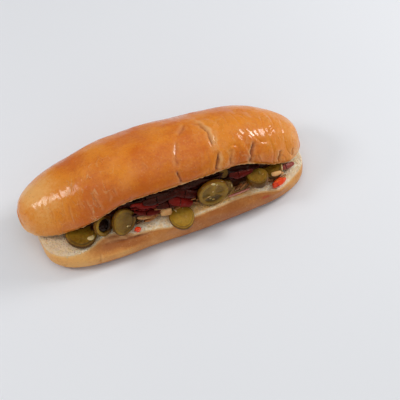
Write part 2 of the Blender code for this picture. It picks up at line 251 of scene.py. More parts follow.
class Desk:
    """Lays out the nodes of one material or node group."""

    def __init__(self, tree: bpy.types.NodeTree) -> None:
        """Work on this tree."""
        self.tree = tree

    def add(self, kind: str, **settings: object) -> bpy.types.Node:
        """A new node of that kind, with these settings.

        Args:
            kind: Blender's name of the kind.
            settings: Values of the node's own settings.

        Returns:
            The node.
        """
        node = self.tree.nodes.new(kind)
        for key, value in settings.items():
            setattr(node, key, value)
        return node

    def feed(self, socket: bpy.types.NodeSocket, value: object) -> None:
        """Give a socket its value.

        Args:
            socket: An input.
            value: Another node's output, a number, or a colour.
        """
        if isinstance(value, bpy.types.NodeSocket):
            self.tree.links.new(value, socket)
        elif socket.type == "RGBA":
            socket.default_value = (*value, 1.0)
        else:
            socket.default_value = value

    def math(self, operation: str, first: object, second: object) -> bpy.types.NodeSocket:
        """Two numbers joined by an operation.

        Args:
            operation: Blender's name of it.
            first: A number or an output.
            second: A number or an output.

        Returns:
            The result.
        """
        node = self.add("ShaderNodeMath", operation=operation)
        self.feed(node.inputs[0], first)
        self.feed(node.inputs[1], second)
        return node.outputs[0]

    def plus(self, first: object, second: object) -> bpy.types.NodeSocket:
        """The sum of two numbers."""
        return self.math("ADD", first, second)

    def minus(self, first: object, second: object) -> bpy.types.NodeSocket:
        """The first number less the second."""
        return self.math("SUBTRACT", first, second)

    def times(self, first: object, second: object) -> bpy.types.NodeSocket:
        """The product of two numbers."""
        return self.math("MULTIPLY", first, second)

    def ramp(self, value: object, low: float, high: float, start: float = 0.0,
             end: float = 1.0) -> bpy.types.NodeSocket:
        """A smooth ramp from start at low to end at high.

        Args:
            value: What is ramped.
            low: Where the ramp starts.
            high: Where it ends.
            start: Its value up to low.
            end: Its value from high on.

        Returns:
            The ramped value.
        """
        node = self.add("ShaderNodeMapRange", interpolation_type="SMOOTHSTEP")
        for socket, number in zip(node.inputs, (value, low, high, start, end)):
            self.feed(socket, number)
        return node.outputs[0]

    def mix(self, factor: object, first: object, second: object,
            blend: str = "MIX") -> bpy.types.NodeSocket:
        """Two colours mixed by a factor.

        Args:
            factor: Share of the second.
            first: A colour or an output.
            second: A colour or an output.
            blend: How they are joined.

        Returns:
            The colour.
        """
        node = self.add("ShaderNodeMix", data_type="RGBA", blend_type=blend)
        self.feed(node.inputs[0], factor)
        self.feed(node.inputs[6], first)
        self.feed(node.inputs[7], second)
        return node.outputs[2]

    def blend(self, factor: object, first: object, second: object) -> bpy.types.NodeSocket:
        """Two numbers mixed by a factor.

        Args:
            factor: Share of the second.
            first: A number or an output.
            second: A number or an output.

        Returns:
            The number.
        """
        node = self.add("ShaderNodeMix", data_type="FLOAT")
        self.feed(node.inputs[0], factor)
        self.feed(node.inputs[2], first)
        self.feed(node.inputs[3], second)
        return node.outputs[0]

    def clouds(self, vector: object, scale: object, detail: float = 2.0,
               roughness: float = 0.5) -> bpy.types.Node:
        """A node of cloudy noise, with that many features a metre.

        Args:
            vector: The place.
            scale: How many features a metre has.
            detail: How many finer layers it has.
            roughness: How strong those are.

        Returns:
            The node, with a value and a colour.
        """
        node = self.add("ShaderNodeTexNoise")
        for title, value in (("Vector", vector), ("Scale", scale), ("Detail", detail),
                             ("Roughness", roughness)):
            self.feed(node.inputs[title], value)
        return node

    def noise(self, vector: object, size: float, detail: float = 2.0,
              roughness: float = 0.5) -> bpy.types.NodeSocket:
        """Cloudy noise from 0 to 1 with features of that size in metres."""
        return self.clouds(vector, 1 / size, detail, roughness).outputs[0]

    def cells(self, vector: object, scale: object, feature: str = "F1") -> bpy.types.NodeSocket:
        """Distance from the middles or the edges of scattered cells, with that many a metre.

        Args:
            vector: The place.
            scale: How many cells a metre has.
            feature: Blender's name of what is measured.

        Returns:
            The distance.
        """
        node = self.add("ShaderNodeTexVoronoi", feature=feature)
        self.feed(node.inputs["Vector"], vector)
        self.feed(node.inputs["Scale"], scale)
        return node.outputs["Distance"]

    def stretched(self, vector: object, scale: Point) -> bpy.types.NodeSocket:
        """A place scaled along each axis, so that what follows it is squeezed there.

        Args:
            vector: The place.
            scale: Its scale along each axis.

        Returns:
            The new place.
        """
        node = self.add("ShaderNodeMapping")
        self.feed(node.inputs["Vector"], vector)
        self.feed(node.inputs["Scale"], scale)
        return node.outputs[0]

    def note(self, name: str) -> bpy.types.NodeSocket:
        """A number that the mesh keeps at each vertex."""
        return self.add("ShaderNodeAttribute", attribute_name=name).outputs["Fac"]

    def place(self) -> bpy.types.NodeSocket:
        """The place on the piece, in metres."""
        return self.add("ShaderNodeTexCoord").outputs["Object"]

    def group(self, tree: bpy.types.NodeTree, **values: object) -> bpy.types.Node:
        """A shared node group placed in this tree, with its own values.

        Args:
            tree: The group.
            values: Values of its inputs.

        Returns:
            The node.
        """
        node = self.add("ShaderNodeGroup", node_tree=tree)
        for key, value in values.items():
            self.feed(node.inputs[key], value)
        return node


def new_group(name: str, inputs: Sequence[tuple[str, str, float]],
              outputs: Sequence[tuple[str, str]]) -> tuple[Desk, bpy.types.Node, bpy.types.Node]:
    """An empty node group with named sockets.

    Args:
        name: Name of the group.
        inputs: Name, kind and first value of each input.
        outputs: Name and kind of each output.

    Returns:
        Its desk, its input node and its output node.
    """
    tree = bpy.data.node_groups.new(name, "ShaderNodeTree")
    for title, kind, value in inputs:
        socket = tree.interface.new_socket(title, in_out="INPUT", socket_type=kind)
        if kind == "NodeSocketFloat":
            socket.default_value = value
    for title, kind in outputs:
        tree.interface.new_socket(title, in_out="OUTPUT", socket_type=kind)
    desk = Desk(tree)
    return desk, desk.add("NodeGroupInput"), desk.add("NodeGroupOutput")


class SharedEffects:
    """Node groups that several finishes use."""

    def __init__(self) -> None:
        """Build each group once."""
        self.mottle = self._mottle()
        self.specks = self._specks()
        self.grain = self._grain()
        self.crackle = self._crackle()

    def _mottle(self) -> bpy.types.NodeTree:
        """Patches of three sizes, round 0.

        Returns:
            The group.
        """
        desk, given, made = new_group(
            "mottle", [("Place", "NodeSocketVector", 0.0), ("Broad", "NodeSocketFloat", 30.0),
                       ("Fine", "NodeSocketFloat", 300.0)], [("Tone", "NodeSocketFloat")])
        total: object = 0.0
        for title, denser, share, detail in (("Broad", 1.0, 1.0, 1.0), ("Broad", 3.7, 0.6, 5.0),
                                             ("Fine", 1.0, 0.5, 3.0)):
            scale = desk.times(given.outputs[title], denser)
            patches = desk.clouds(given.outputs["Place"], scale, detail).outputs[0]
            total = desk.plus(total, desk.times(desk.minus(patches, 0.5), share))
        desk.feed(made.inputs["Tone"], total)
        return desk.tree

    def _specks(self) -> bpy.types.NodeTree:
        """Small scattered spots.

        Returns:
            The group.
        """
        desk, given, made = new_group(
            "specks", [("Place", "NodeSocketVector", 0.0), ("Scale", "NodeSocketFloat", 600.0),
                       ("Cover", "NodeSocketFloat", 0.2)], [("Mask", "NodeSocketFloat")])
        place, scale = given.outputs["Place"], given.outputs["Scale"]
        patches = desk.clouds(place, desk.times(scale, 0.21)).outputs[0]
        reach = desk.times(patches, given.outputs["Cover"])
        near = desk.minus(reach, desk.cells(place, scale))
        desk.feed(made.inputs["Mask"], desk.ramp(near, 0.0, 0.12))
        return desk.tree

    def _grain(self) -> bpy.types.NodeTree:
        """Fine uneven height.

        Returns:
            The group.
        """
        desk, given, made = new_group(
            "grain", [("Place", "NodeSocketVector", 0.0), ("Coarse", "NodeSocketFloat", 200.0),
                      ("Fine", "NodeSocketFloat", 1200.0)], [("Height", "NodeSocketFloat")])
        parts = []
        for title, share in (("Coarse", 0.65), ("Fine", 0.35)):
            height = desk.clouds(given.outputs["Place"], given.outputs[title], 3.0).outputs[0]
            parts.append(desk.times(height, share))
        desk.feed(made.inputs["Height"], desk.plus(*parts))
        return desk.tree

    def _crackle(self) -> bpy.types.NodeTree:
        """Broken thin lines, as a dried skin wrinkles across the roll.

        Returns:
            The group.
        """
        desk, given, made = new_group(
            "crackle", [("Place", "NodeSocketVector", 0.0), ("Scale", "NodeSocketFloat", 95.0),
                        ("Width", "NodeSocketFloat", 0.05)], [("Lines", "NodeSocketFloat")])
        place, width = given.outputs["Place"], given.outputs["Width"]
        bent = desk.add("ShaderNodeVectorMath", operation="MULTIPLY_ADD")
        desk.feed(bent.inputs[0], desk.clouds(place, 260.0, 3.0).outputs["Color"])
        desk.feed(bent.inputs[1], (5 * MM, 5 * MM, 5 * MM))
        desk.feed(bent.inputs[2], place)
        narrow = desk.stretched(bent.outputs[0], (1.5, 0.75, 0.75))
        edge = desk.cells(narrow, given.outputs["Scale"], "DISTANCE_TO_EDGE")
        line = desk.ramp(desk.math("DIVIDE", desk.minus(width, edge), width), 0.0, 0.7)
        broken = desk.ramp(desk.noise(place, 9 * MM), 0.46, 0.62)
        desk.feed(made.inputs["Lines"], desk.times(line, broken))
        return desk.tree


def new_material(name: str, **settings: float) -> tuple[bpy.types.Material, Desk, bpy.types.Node]:
    """A material with a Principled shader.

    Args:
        name: Name of the material.
        settings: Values of the shader's own sockets, with _ for a space in their names.

    Returns:
        The material, its desk and its shader.
    """
    material = bpy.data.materials.new(name)
    material.use_nodes = True
    desk = Desk(material.node_tree)
    shader = material.node_tree.nodes["Principled BSDF"]
    for key, value in settings.items():
        desk.feed(shader.inputs[key.replace("_", " ")], value)
    return material, desk, shader


def bump(desk: Desk, shader: bpy.types.Node, height: object, distance: float,
         strength: float = 1.0) -> None:
    """Relief on a shader from a height between 0 and 1, as deep as distance in metres.

    Args:
        desk: Where the nodes go.
        shader: The shader.
        height: The height.
        distance: Its depth.
        strength: How much of it shows.
    """
    node = desk.add("ShaderNodeBump")
    desk.feed(node.inputs["Height"], height)
    desk.feed(node.inputs["Distance"], distance)
    desk.feed(node.inputs["Strength"], strength)
    desk.feed(shader.inputs["Normal"], node.outputs["Normal"])


@dataclass(frozen=True)
class BreadFinish:
    """Baked crust outside and soft crumb on the cut face."""

    name: str
    pale: Colour = paint(238, 174, 98)
    golden: Colour = paint(226, 136, 32)
    brown: Colour = paint(204, 102, 12)
    deep: Colour = paint(140, 52, 10)
    rim: Colour = paint(240, 198, 138)
    crumb: Colour = paint(255, 244, 220)
    crumb_shade: Colour = paint(240, 208, 160)
    soaked: Colour = paint(190, 122, 60)
    stained: Colour = paint(186, 66, 30)
    creamy: Colour = paint(248, 190, 108)
    glaze: float = 0.85

    def _crust(self, desk: Desk, effects: SharedEffects, fine: object, lines: object,
               ragged: object) -> bpy.types.NodeSocket:
        """Colour of the crust.

        Args:
            desk: Where the nodes go.
            effects: The shared node groups.
            fine: Fine noise from 0 to 1.
            lines: Where thin dry lines run.
            ragged: Distance from the cut edge in millimetres, made uneven.

        Returns:
            The colour.
        """
        place = desk.place()
        mottle = desk.group(effects.mottle, Place=place, Broad=26.0, Fine=420.0).outputs[0]
        tone = desk.plus(desk.note("bake"), desk.times(mottle, 0.62))
        colour: object = self.pale
        for low, high, baked in ((0.05, 0.42, self.golden), (0.38, 0.78, self.brown),
                                 (0.8, 1.25, self.deep)):
            colour = desk.mix(desk.ramp(tone, low, high), colour, baked)
        for scale, cover, share, speck in ((420.0, 0.5, 0.22, self.deep), (330.0, 0.4, 0.14, self.rim)):
            specks = desk.group(effects.specks, Place=place, Scale=scale, Cover=cover).outputs[0]
            colour = desk.mix(desk.times(specks, share), colour, speck)
        # Painted shade darkens the crease valleys with the deep colour, and painted highlights lighten the
        # crease lips with the rim colour, beside the real pale dry lines
        for mask, share, shown in ((lines, 0.5, self.rim), (desk.note("fold"), 0.95, self.deep),
                                   (desk.note("ridge"), 0.6, self.rim)):
            colour = desk.mix(desk.times(mask, share), colour, shown)
        colour = desk.mix(desk.ramp(ragged, 0.3, 2.4, 0.75, 0.0), colour, self.rim)
        stain = desk.ramp(desk.plus(desk.note("stain"), desk.minus(fine, 0.5)), 0.35, 0.75)
        return desk.mix(desk.times(stain, 0.75), colour, self.stained)

    def _crumb(self, desk: Desk, pores: object, cloud: object, wet: object) -> bpy.types.NodeSocket:
        """Colour of the crumb.

        Args:
            desk: Where the nodes go.
            pores: Small holes, 0 in their middles.
            cloud: Cloudy noise from 0 to 1.
            wet: Where the crumb is painted darker and glossier: where the filling wets it, plus painted shade
                at the heel's left end.

        Returns:
            The colour.
        """
        colour = desk.mix(desk.ramp(cloud, 0.3, 0.7), self.crumb_shade, self.crumb)
        # Painted shade: the pores are painted towards crumb_shade
        colour = desk.mix(desk.times(desk.minus(1.0, pores), 0.3), colour, self.crumb_shade)
        # The crumb darkens where the filling wets it and where shade is painted onto it
        colour = desk.mix(desk.times(wet, 0.85), colour, self.soaked)
        return desk.mix(desk.note("cream"), colour, self.creamy)

    def build(self, effects: SharedEffects) -> bpy.types.Material:
        """The bread's material.

        Args:
            effects: The shared node groups.

        Returns:
            The material.
        """
        material, desk, shader = new_material(self.name, Coat_Roughness=0.14, Coat_IOR=1.45,
                                              Subsurface_Weight=0.06, Subsurface_Scale=0.003,
                                              Specular_IOR_Level=0.2)
        place = desk.place()
        fine = desk.noise(place, 1.1 * MM, 3.0)
        ragged = desk.plus(desk.note("rim"), desk.times(desk.minus(fine, 0.5), 1.6))
        is_crust = desk.ramp(ragged, -0.25, 0.35)
        crackle = desk.group(effects.crackle, Place=place, Scale=95.0, Width=0.055).outputs[0]
        lines = desk.times(crackle, desk.note("crackle"))
        pores = desk.ramp(desk.cells(place, 1 / (1.5 * MM)), 0.12, 0.5)
        cloud = desk.noise(place, 4.5 * MM, 4.0, 0.6)
        # wet holds the crumb wetted by the filling, together with painted shade at the heel's left end
        wet = desk.ramp(desk.plus(desk.note("soak"), desk.minus(cloud, 0.5)), 0.2, 0.9)
        crust = self._crust(desk, effects, fine, lines, ragged)
        crumb = self._crumb(desk, pores, cloud, wet)
        desk.feed(shader.inputs["Base Color"], desk.mix(is_crust, crumb, crust))

        gloss = desk.plus(0.42, desk.times(desk.noise(place, 9 * MM, 3.0), 0.2))
        dull = desk.blend(wet, 0.9, 0.35)
        desk.feed(shader.inputs["Roughness"], desk.blend(is_crust, dull, gloss))
        glaze = desk.ramp(desk.noise(place, 16 * MM, 3.0), 0.3, 0.65, 0.2, self.glaze)
        desk.feed(shader.inputs["Coat Weight"], desk.times(is_crust, glaze))

        crumb_height = desk.plus(desk.times(pores, 0.8), desk.times(fine, 0.7))
        grain = desk.group(effects.grain, Place=place, Coarse=420.0, Fine=1500.0).outputs[0]
        wrinkles = desk.times(desk.noise(place, 3.2 * MM), 0.45)
        crust_height = desk.plus(desk.plus(desk.times(grain, 0.26), wrinkles), desk.times(lines, 0.7))
        bump(desk, shader, desk.blend(is_crust, crumb_height, crust_height), 0.7 * MM)
        return material


@dataclass(frozen=True)
class PepperFinish:
    """Pickled pepper: waxy skin outside, wet flesh, pale pith and seeds inside."""

    name: str
    skin: Colour = paint(100, 64, 10)
    skin_light: Colour = paint(124, 84, 16)
    flesh: Colour = paint(150, 110, 24)
    flesh_light: Colour = paint(180, 140, 44)
    pith: Colour = paint(156, 124, 62)
    # Seeds, and also the painted glints that pale chips carry
    seed: Colour = paint(226, 200, 146)
    # Painted shade in the chambers, the grooves and the sunk middle of a hollow slice
    hollow: Colour = paint(36, 12, 2)
    # Painted shade, multiplied in by the slice's shade note, which also holds random patches
    shade: Colour = paint(120, 92, 60)

    def build(self, effects: SharedEffects) -> bpy.types.Material:
        """The pepper's material.

        Args:
            effects: The shared node groups.

        Returns:
            The material.
        """
        material, desk, shader = new_material(
            self.name, Coat_Weight=0.16, Coat_Roughness=0.08, Specular_Tint=WARM_SHINE,
            Subsurface_Weight=0.2, Subsurface_Scale=0.002, Specular_IOR_Level=0.2)
        place = desk.place()
        mottle = desk.group(effects.mottle, Place=place, Broad=140.0, Fine=900.0).outputs[0]
        patch = desk.ramp(mottle, -0.35, 0.4)
        skin = desk.mix(patch, self.skin, self.skin_light)
        flesh = desk.mix(patch, self.flesh, self.flesh_light)
        colour = desk.mix(desk.note("skin"), flesh, skin)
        colour = desk.mix(desk.note("hollow"), colour, self.hollow)
        colour = desk.mix(desk.note("pith"), colour, self.pith)
        colour = desk.mix(desk.note("shade"), colour, desk.mix(1.0, colour, self.shade, "MULTIPLY"))
        colour = desk.mix(desk.note("seed"), colour, self.seed)
        desk.feed(shader.inputs["Base Color"], colour)
        desk.feed(shader.inputs["Roughness"], desk.ramp(mottle, -0.4, 0.5, 0.2, 0.42))
        grain = desk.group(effects.grain, Place=place, Coarse=600.0, Fine=2200.0).outputs[0]
        bump(desk, shader, grain, 0.35 * MM, 0.7)
        return material


@dataclass(frozen=True)
class WetFinish:
    """Glossy soft food of two tones, with its edges in a third: onion, red pepper or meat."""

    name: str
    dark: Colour
    middle: Colour
    light: Colour
    roughness: float = 0.3
    coat: float = 0.35
    relief: float = 0.3 * MM
    stretch: float = 1.0
    glow: float = 0.15
    edge_share: float = 0.5
    shine: float = 0.25
    mottled: float = 0.55

    def build(self, effects: SharedEffects) -> bpy.types.Material:
        """The material, which reads the piece's tone and edge.

        Args:
            effects: The shared node groups.

        Returns:
            The material.
        """
        material, desk, shader = new_material(
            self.name, Coat_Weight=self.coat, Coat_Roughness=0.1,
            Subsurface_Weight=self.glow, Subsurface_Scale=0.002, Specular_IOR_Level=self.shine,
            Specular_Tint=WARM_SHINE)
        place = desk.place()
        if self.stretch != 1.0:
            place = desk.stretched(place, (1.0, self.stretch, self.stretch))
        mottle = desk.group(effects.mottle, Place=place, Broad=170.0, Fine=900.0).outputs[0]
        tone = desk.plus(desk.note("tone"), desk.times(mottle, self.mottled))
        colour = desk.mix(desk.ramp(tone, 0.1, 0.55), self.dark, self.middle)
        colour = desk.mix(desk.ramp(tone, 0.62, 1.0), colour, self.light)
        colour = desk.mix(desk.times(desk.note("edge"), self.edge_share), colour, self.light)
        desk.feed(shader.inputs["Base Color"], colour)
        rough = desk.ramp(mottle, -0.4, 0.5, self.roughness * 0.7, self.roughness * 1.5)
        desk.feed(shader.inputs["Roughness"], rough)
        grain = desk.group(effects.grain, Place=place, Coarse=500.0, Fine=1900.0).outputs[0]
        bump(desk, shader, grain, self.relief)
        return material


CROWN_CRUST = BreadFinish("crown_crust")
HEEL_CRUST = BreadFinish("heel_crust", pale=paint(236, 176, 100), golden=paint(206, 134, 64),
                         brown=paint(176, 104, 46), deep=paint(132, 58, 12), glaze=0.35)
PICKLED_PEPPER = PepperFinish("pickled_pepper")
RED_PEPPER = WetFinish("red_pepper", paint(176, 26, 4), paint(238, 64, 10), paint(250, 132, 56),
                       roughness=0.2, coat=0.4)
COOKED_MEAT = WetFinish("cooked_meat", paint(64, 22, 6), paint(158, 86, 34), paint(232, 178, 118),
                        roughness=0.4, coat=0.12, relief=0.5 * MM, stretch=2.4, shine=0.2)
RED_ONION = WetFinish("red_onion", paint(46, 8, 3), paint(118, 14, 8), paint(150, 72, 66),
                      roughness=0.26, coat=0.1, stretch=2.4, edge_share=0.12, shine=0.16, mottled=0.3)
PALE_ONION = WetFinish("pale_onion", paint(150, 40, 40), paint(196, 110, 96), paint(236, 190, 170),
                       roughness=0.25)
LOOSE_CRUMB = WetFinish("crumb", paint(206, 170, 124), paint(236, 214, 176), paint(250, 238, 214),
                        roughness=0.8, coat=0.0)


# The roll


@dataclass(frozen=True)
class Roll:
    """Sizes of the roll that its two halves and the filling follow, with tilts in degrees."""

    heel_length: float = 273 * MM
    heel_width: float = 99 * MM
    heel_middle: Span = (5.5 * MM, 0.5 * MM)
    cut_height: float = 26 * MM
    left_droop: float = 6 * MM
    right_droop: float = 8 * MM
    heel_widest: float = 14 * MM
    heel_belly: float = 19 * MM
    heel_round: float = 26 * MM
    left_swell: float = 7.5 * MM
    crown_length: float = 287.7 * MM
    crown_width: float = 92 * MM
    crown_dome: float = 34.5 * MM
    crown_tuck: float = 6 * MM
    crown_round: float = 15 * MM
    left_bend: float = 6.5 * MM
    hinge_y: float = 49 * MM
    front_tilt: float = 23.5
    end_tilt: float = 4.0
    clearance: float = 0.4 * MM
    filling_left: float = -112 * MM
    filling_right: float = 119 * MM
    filling_back: float = 34 * MM
    filling_front: float = -34 * MM
    meat_share: float = 0.40

    def cut_level(self, x: Number) -> Number:
        """Height of the heel's cut face, which droops at both ends.

        Args:
            x: Place along the roll.

        Returns:
            The height.
        """
        left = self.left_droop * smoothstep(50 * MM, 140 * MM, -x)
        right = self.right_droop * smoothstep(60 * MM, 135 * MM, x)
        return self.cut_height - left - right

    def rim_push(self, x: Number) -> Number:
        """How far the front rim of the heel lies behind its even line.

        Args:
            x: Place along the roll.

        Returns:
            The distance, below 0 where it stands out.
        """
        sunken = 12 * MM * hill(x + 72 * MM, 20 * MM)
        middle = 4 * MM * hill(x + 8 * MM, 14 * MM)
        waist = 3 * MM * hill(x - 58 * MM, 18 * MM)
        return sunken - middle + waist - 4.5 * MM * hill(x - 106 * MM, 14 * MM)

    def crown_tilt(self, x: Number) -> Number:
        """Tilt of the crown in radians: full over the filling, little at the ends.

        Args:
            x: Place along the roll.

        Returns:
            The tilt.
        """
        left = smoothstep(-136 * MM, -40 * MM, x)
        right = 1 - smoothstep(58 * MM, 146 * MM, x)
        return np.radians(self.end_tilt + (self.front_tilt - self.end_tilt) * left * right)

    def dome_swell(self, x: Number) -> Number:
        """How much higher or lower the crown's dome stands than its even height.

        Args:
            x: Place along the roll.

        Returns:
            The height as a share of the even one.
        """
        left = 0.08 * hill(x + 98 * MM, 36 * MM)
        middle = 0.04 * hill(x + 12 * MM, 36 * MM)
        waist = 0.06 * hill(x - 62 * MM, 30 * MM)
        return 1 + left + middle - waist + 0.08 * hill(x - 114 * MM, 26 * MM)

    def back_swell(self, x: Number) -> Number:
        """How far the back of the crown's dome bulges out.

        Args:
            x: Place along the roll.

        Returns:
            The distance.
        """
        middle = 1.2 * MM * hill(x + 12 * MM, 36 * MM)
        waist = 1.6 * MM * hill(x - 62 * MM, 30 * MM)
        return middle - waist + 1.6 * MM * hill(x - 114 * MM, 24 * MM)

    def crown_under(self, x: Number, y: Number) -> Number:
        """Height of the crown's cut face above the base."""
        rise = (self.hinge_y - y) * np.tan(self.crown_tilt(x))
        return self.cut_level(x) + self.clearance + rise

    def room(self, x: Number, y: Number, low: float = 0.0, high: float = 1.0) -> tuple[Number, Number]:
        """Lower and upper height of a layer between the two cut faces.

        Args:
            x: Place along the roll.
            y: Place across it.
            low: Share of the height at which the layer starts.
            high: Share at which it ends.

        Returns:
            Both heights.
        """
        floor = self.cut_level(x) + self.clearance
        height = self.crown_under(x, y) - 3 * self.clearance - floor
        return floor + height * low, floor + height * high

    def heel_points(self, points: np.ndarray) -> np.ndarray:
        """Points of the lower loaf where it lies on the table.

        Args:
            points: Points of a half loaf.

        Returns:
            The points in place.
        """
        x, y, z = points.T
        x = x + self.heel_middle[0]
        height = (z + self.heel_widest) * self.cut_level(x) / self.cut_height
        return np.stack([x, y + self.heel_middle[1], height], 1)

    def crown_points(self, points: np.ndarray) -> np.ndarray:
        """Points of the upper loaf: turned over onto the heel and tilted about the hinge.

        Args:
            points: Points of a half loaf.

        Returns:
            The points in place.
        """
        x, y, z = points.T
        start = math.sqrt(1 - (self.crown_tuck / self.crown_round) ** 2)
        across = y - start * self.crown_width / 2
        above = self.crown_tuck - z
        tilt = self.crown_tilt(x)
        bend = self.left_bend * smoothstep(72 * MM, 128 * MM, -x)
        return np.stack([
            x,
            self.hinge_y + bend + across * np.cos(tilt) + above * np.sin(tilt),
            self.cut_level(x) + self.clearance - across * np.sin(tilt) + above * np.cos(tilt),
        ], 1)


@dataclass(frozen=True)
class HalfLoaf:
    """Half a loaf along X, its flat cut face upward and its widest level at height 0.

    section and the outlines are exponents of superellipses: 2 is round, and more is squarer.
    """

    length: float
    width: float
    tuck: float
    tuck_round: float
    swell: float
    section: float
    outline: float
    end_outline: float = 3.4
    rim_outline: float = 10.0
    ring_sides: int = 200
    cut_sides: int = 56
    stations: int = 400

    def shell(self) -> tuple[bpy.types.Mesh, np.ndarray, np.ndarray]:
        """A finely divided half loaf.

        Returns:
            The mesh, its points, and each point's distance in millimetres from the cut edge,
            above 0 on the crust and below 0 on the crumb.
        """
        bm = bmesh.new()
        bmesh.ops.create_uvsphere(bm, u_segments=self.ring_sides, v_segments=self.stations, radius=1.0)
        mesh = bpy.data.meshes.new("half_loaf")
        bm.to_mesh(mesh)
        bm.free()
        across, upward, along = read_points(mesh).T
        number = np.rint(np.arctan2(upward, across) / (2 * math.pi) * self.ring_sides) % self.ring_sides
        on_cut = number <= self.cut_sides
        start = math.asin(self.tuck / self.tuck_round)
        share = (number - self.cut_sides) / (self.ring_sides - self.cut_sides)
        turn = (math.pi - start) + share * (math.pi + 2 * start)
        above = np.sin(turn) > 0
        crust_side = np.where(above, np.cos(turn), power_turn(np.cos(turn), self.section))
        crust_height = np.where(above, self.tuck_round * np.sin(turn),
                                self.swell * power_turn(np.sin(turn), self.section))
        cut_side = math.cos(start) * np.cos(math.pi * number / self.cut_sides)
        side = np.where(on_cut, cut_side, crust_side)
        height = np.where(on_cut, self.tuck, crust_height)
        station = np.clip(along, -1, 1)
        plan = girth(station, self.outline)
        height = height * girth(station, np.where(height > 0, self.rim_outline, self.end_outline))
        inward = (math.cos(start) - np.abs(side)) * plan * self.width / 2
        outward = np.minimum(share, 1 - share) * 1.75 * (self.width / 2 + self.swell)
        edge = np.where(on_cut, -inward, outward * (0.2 + 0.8 * plan)) / MM
        points = np.stack([station * self.length / 2, side * plan * self.width / 2, height], 1)
        return mesh, points, edge


def follow(path: np.ndarray, flat: np.ndarray) -> tuple[np.ndarray, np.ndarray, np.ndarray]:
    """Where points lie beside a drawn line.

    Args:
        path: The line's points, as the camera sees them, in millimetres.
        flat: The points, seen in the same way.

    Returns:
        Each point's distance from the line, the same with a sign for its side, and its share of
        the way along.
    """
    lengths = np.linalg.norm(np.diff(path, axis=0), axis=1)
    best = np.full(len(flat), np.inf)
    away = np.zeros(len(flat))
    along = np.zeros(len(flat))
    done = 0.0
    for low, high, length in zip(path[:-1], path[1:], lengths):
        forward = (high - low) / length
        offset = flat - low
        run = np.clip(offset @ forward, 0, length)
        gap = np.linalg.norm(offset - run[:, None] * forward, axis=1)
        side = offset[:, 0] * forward[1] - offset[:, 1] * forward[0]
        nearer = gap < best
        best = np.where(nearer, gap, best)
        away = np.where(nearer, np.copysign(gap, side), away)
        along = np.where(nearer, (done + run) / lengths.sum(), along)
        done += length
    return best, away, along


@dataclass(frozen=True)
class Crease:
    """A crease across the crust: the points it runs through and its form, in millimetres.

    fade is a share of its length, and lip_share is the width of a lip as a share of its own.
    """

    path: Sequence[Point]
    depth: float
    width: float = 1.0
    valley: float = 0.0
    left_lip: float = 0.0
    right_lip: float = 0.0
    open_end: bool = False
    fade: float = 0.3
    reach: float = 9.0
    last_reach: float = 16.0
    valley_width: float = 4.2
    lip_gap: float = 0.5
    lip_share: float = 1.4
    # Depth at which the painted shade in the valley is at its darkest
    darkest_depth: float = 2.2

    def press(self, flat: np.ndarray, wander: np.ndarray, deepness: np.ndarray,
              wideness: np.ndarray) -> tuple[np.ndarray, np.ndarray, np.ndarray]:
        """Relief of the crease.

        Args:
            flat: Points of the crust as the camera sees them, in millimetres.
            wander: How far its line strays at each.
            deepness: How deep it is at each, as a share.
            wideness: How wide it is at each, as a share.

        Returns:
            Outward move in millimetres, painted shade in the crease's valley and painted highlight on each
            lip.
        """
        path = np.array([(Vector(point).dot(VIEW_RIGHT), Vector(point).dot(VIEW_UP))
                         for point in self.path])
        best, away, along = follow(path, flat)
        away = away + wander
        weight = smoothstep(0.0, self.fade, along) * hill(best, self.reach) * (best < self.last_reach)
        if not self.open_end:
            weight = weight * smoothstep(0.0, self.fade, 1 - along)
        lip = self.lip_share * self.width * wideness
        core = hill(away, self.width * wideness) * deepness
        left = self.left_lip * hill(away + self.lip_gap + lip, lip)
        right = self.right_lip * hill(away - self.lip_gap - lip, lip)
        move = weight * (left + right - self.depth * core - self.valley * hill(away, self.valley_width))
        # Painted shade in the crease's valley; the last value returned is a painted highlight on each lip
        fold = weight * core * min(1.0, max(0.0, self.depth / self.darkest_depth))
        return move, fold, weight * deepness * (left + right)


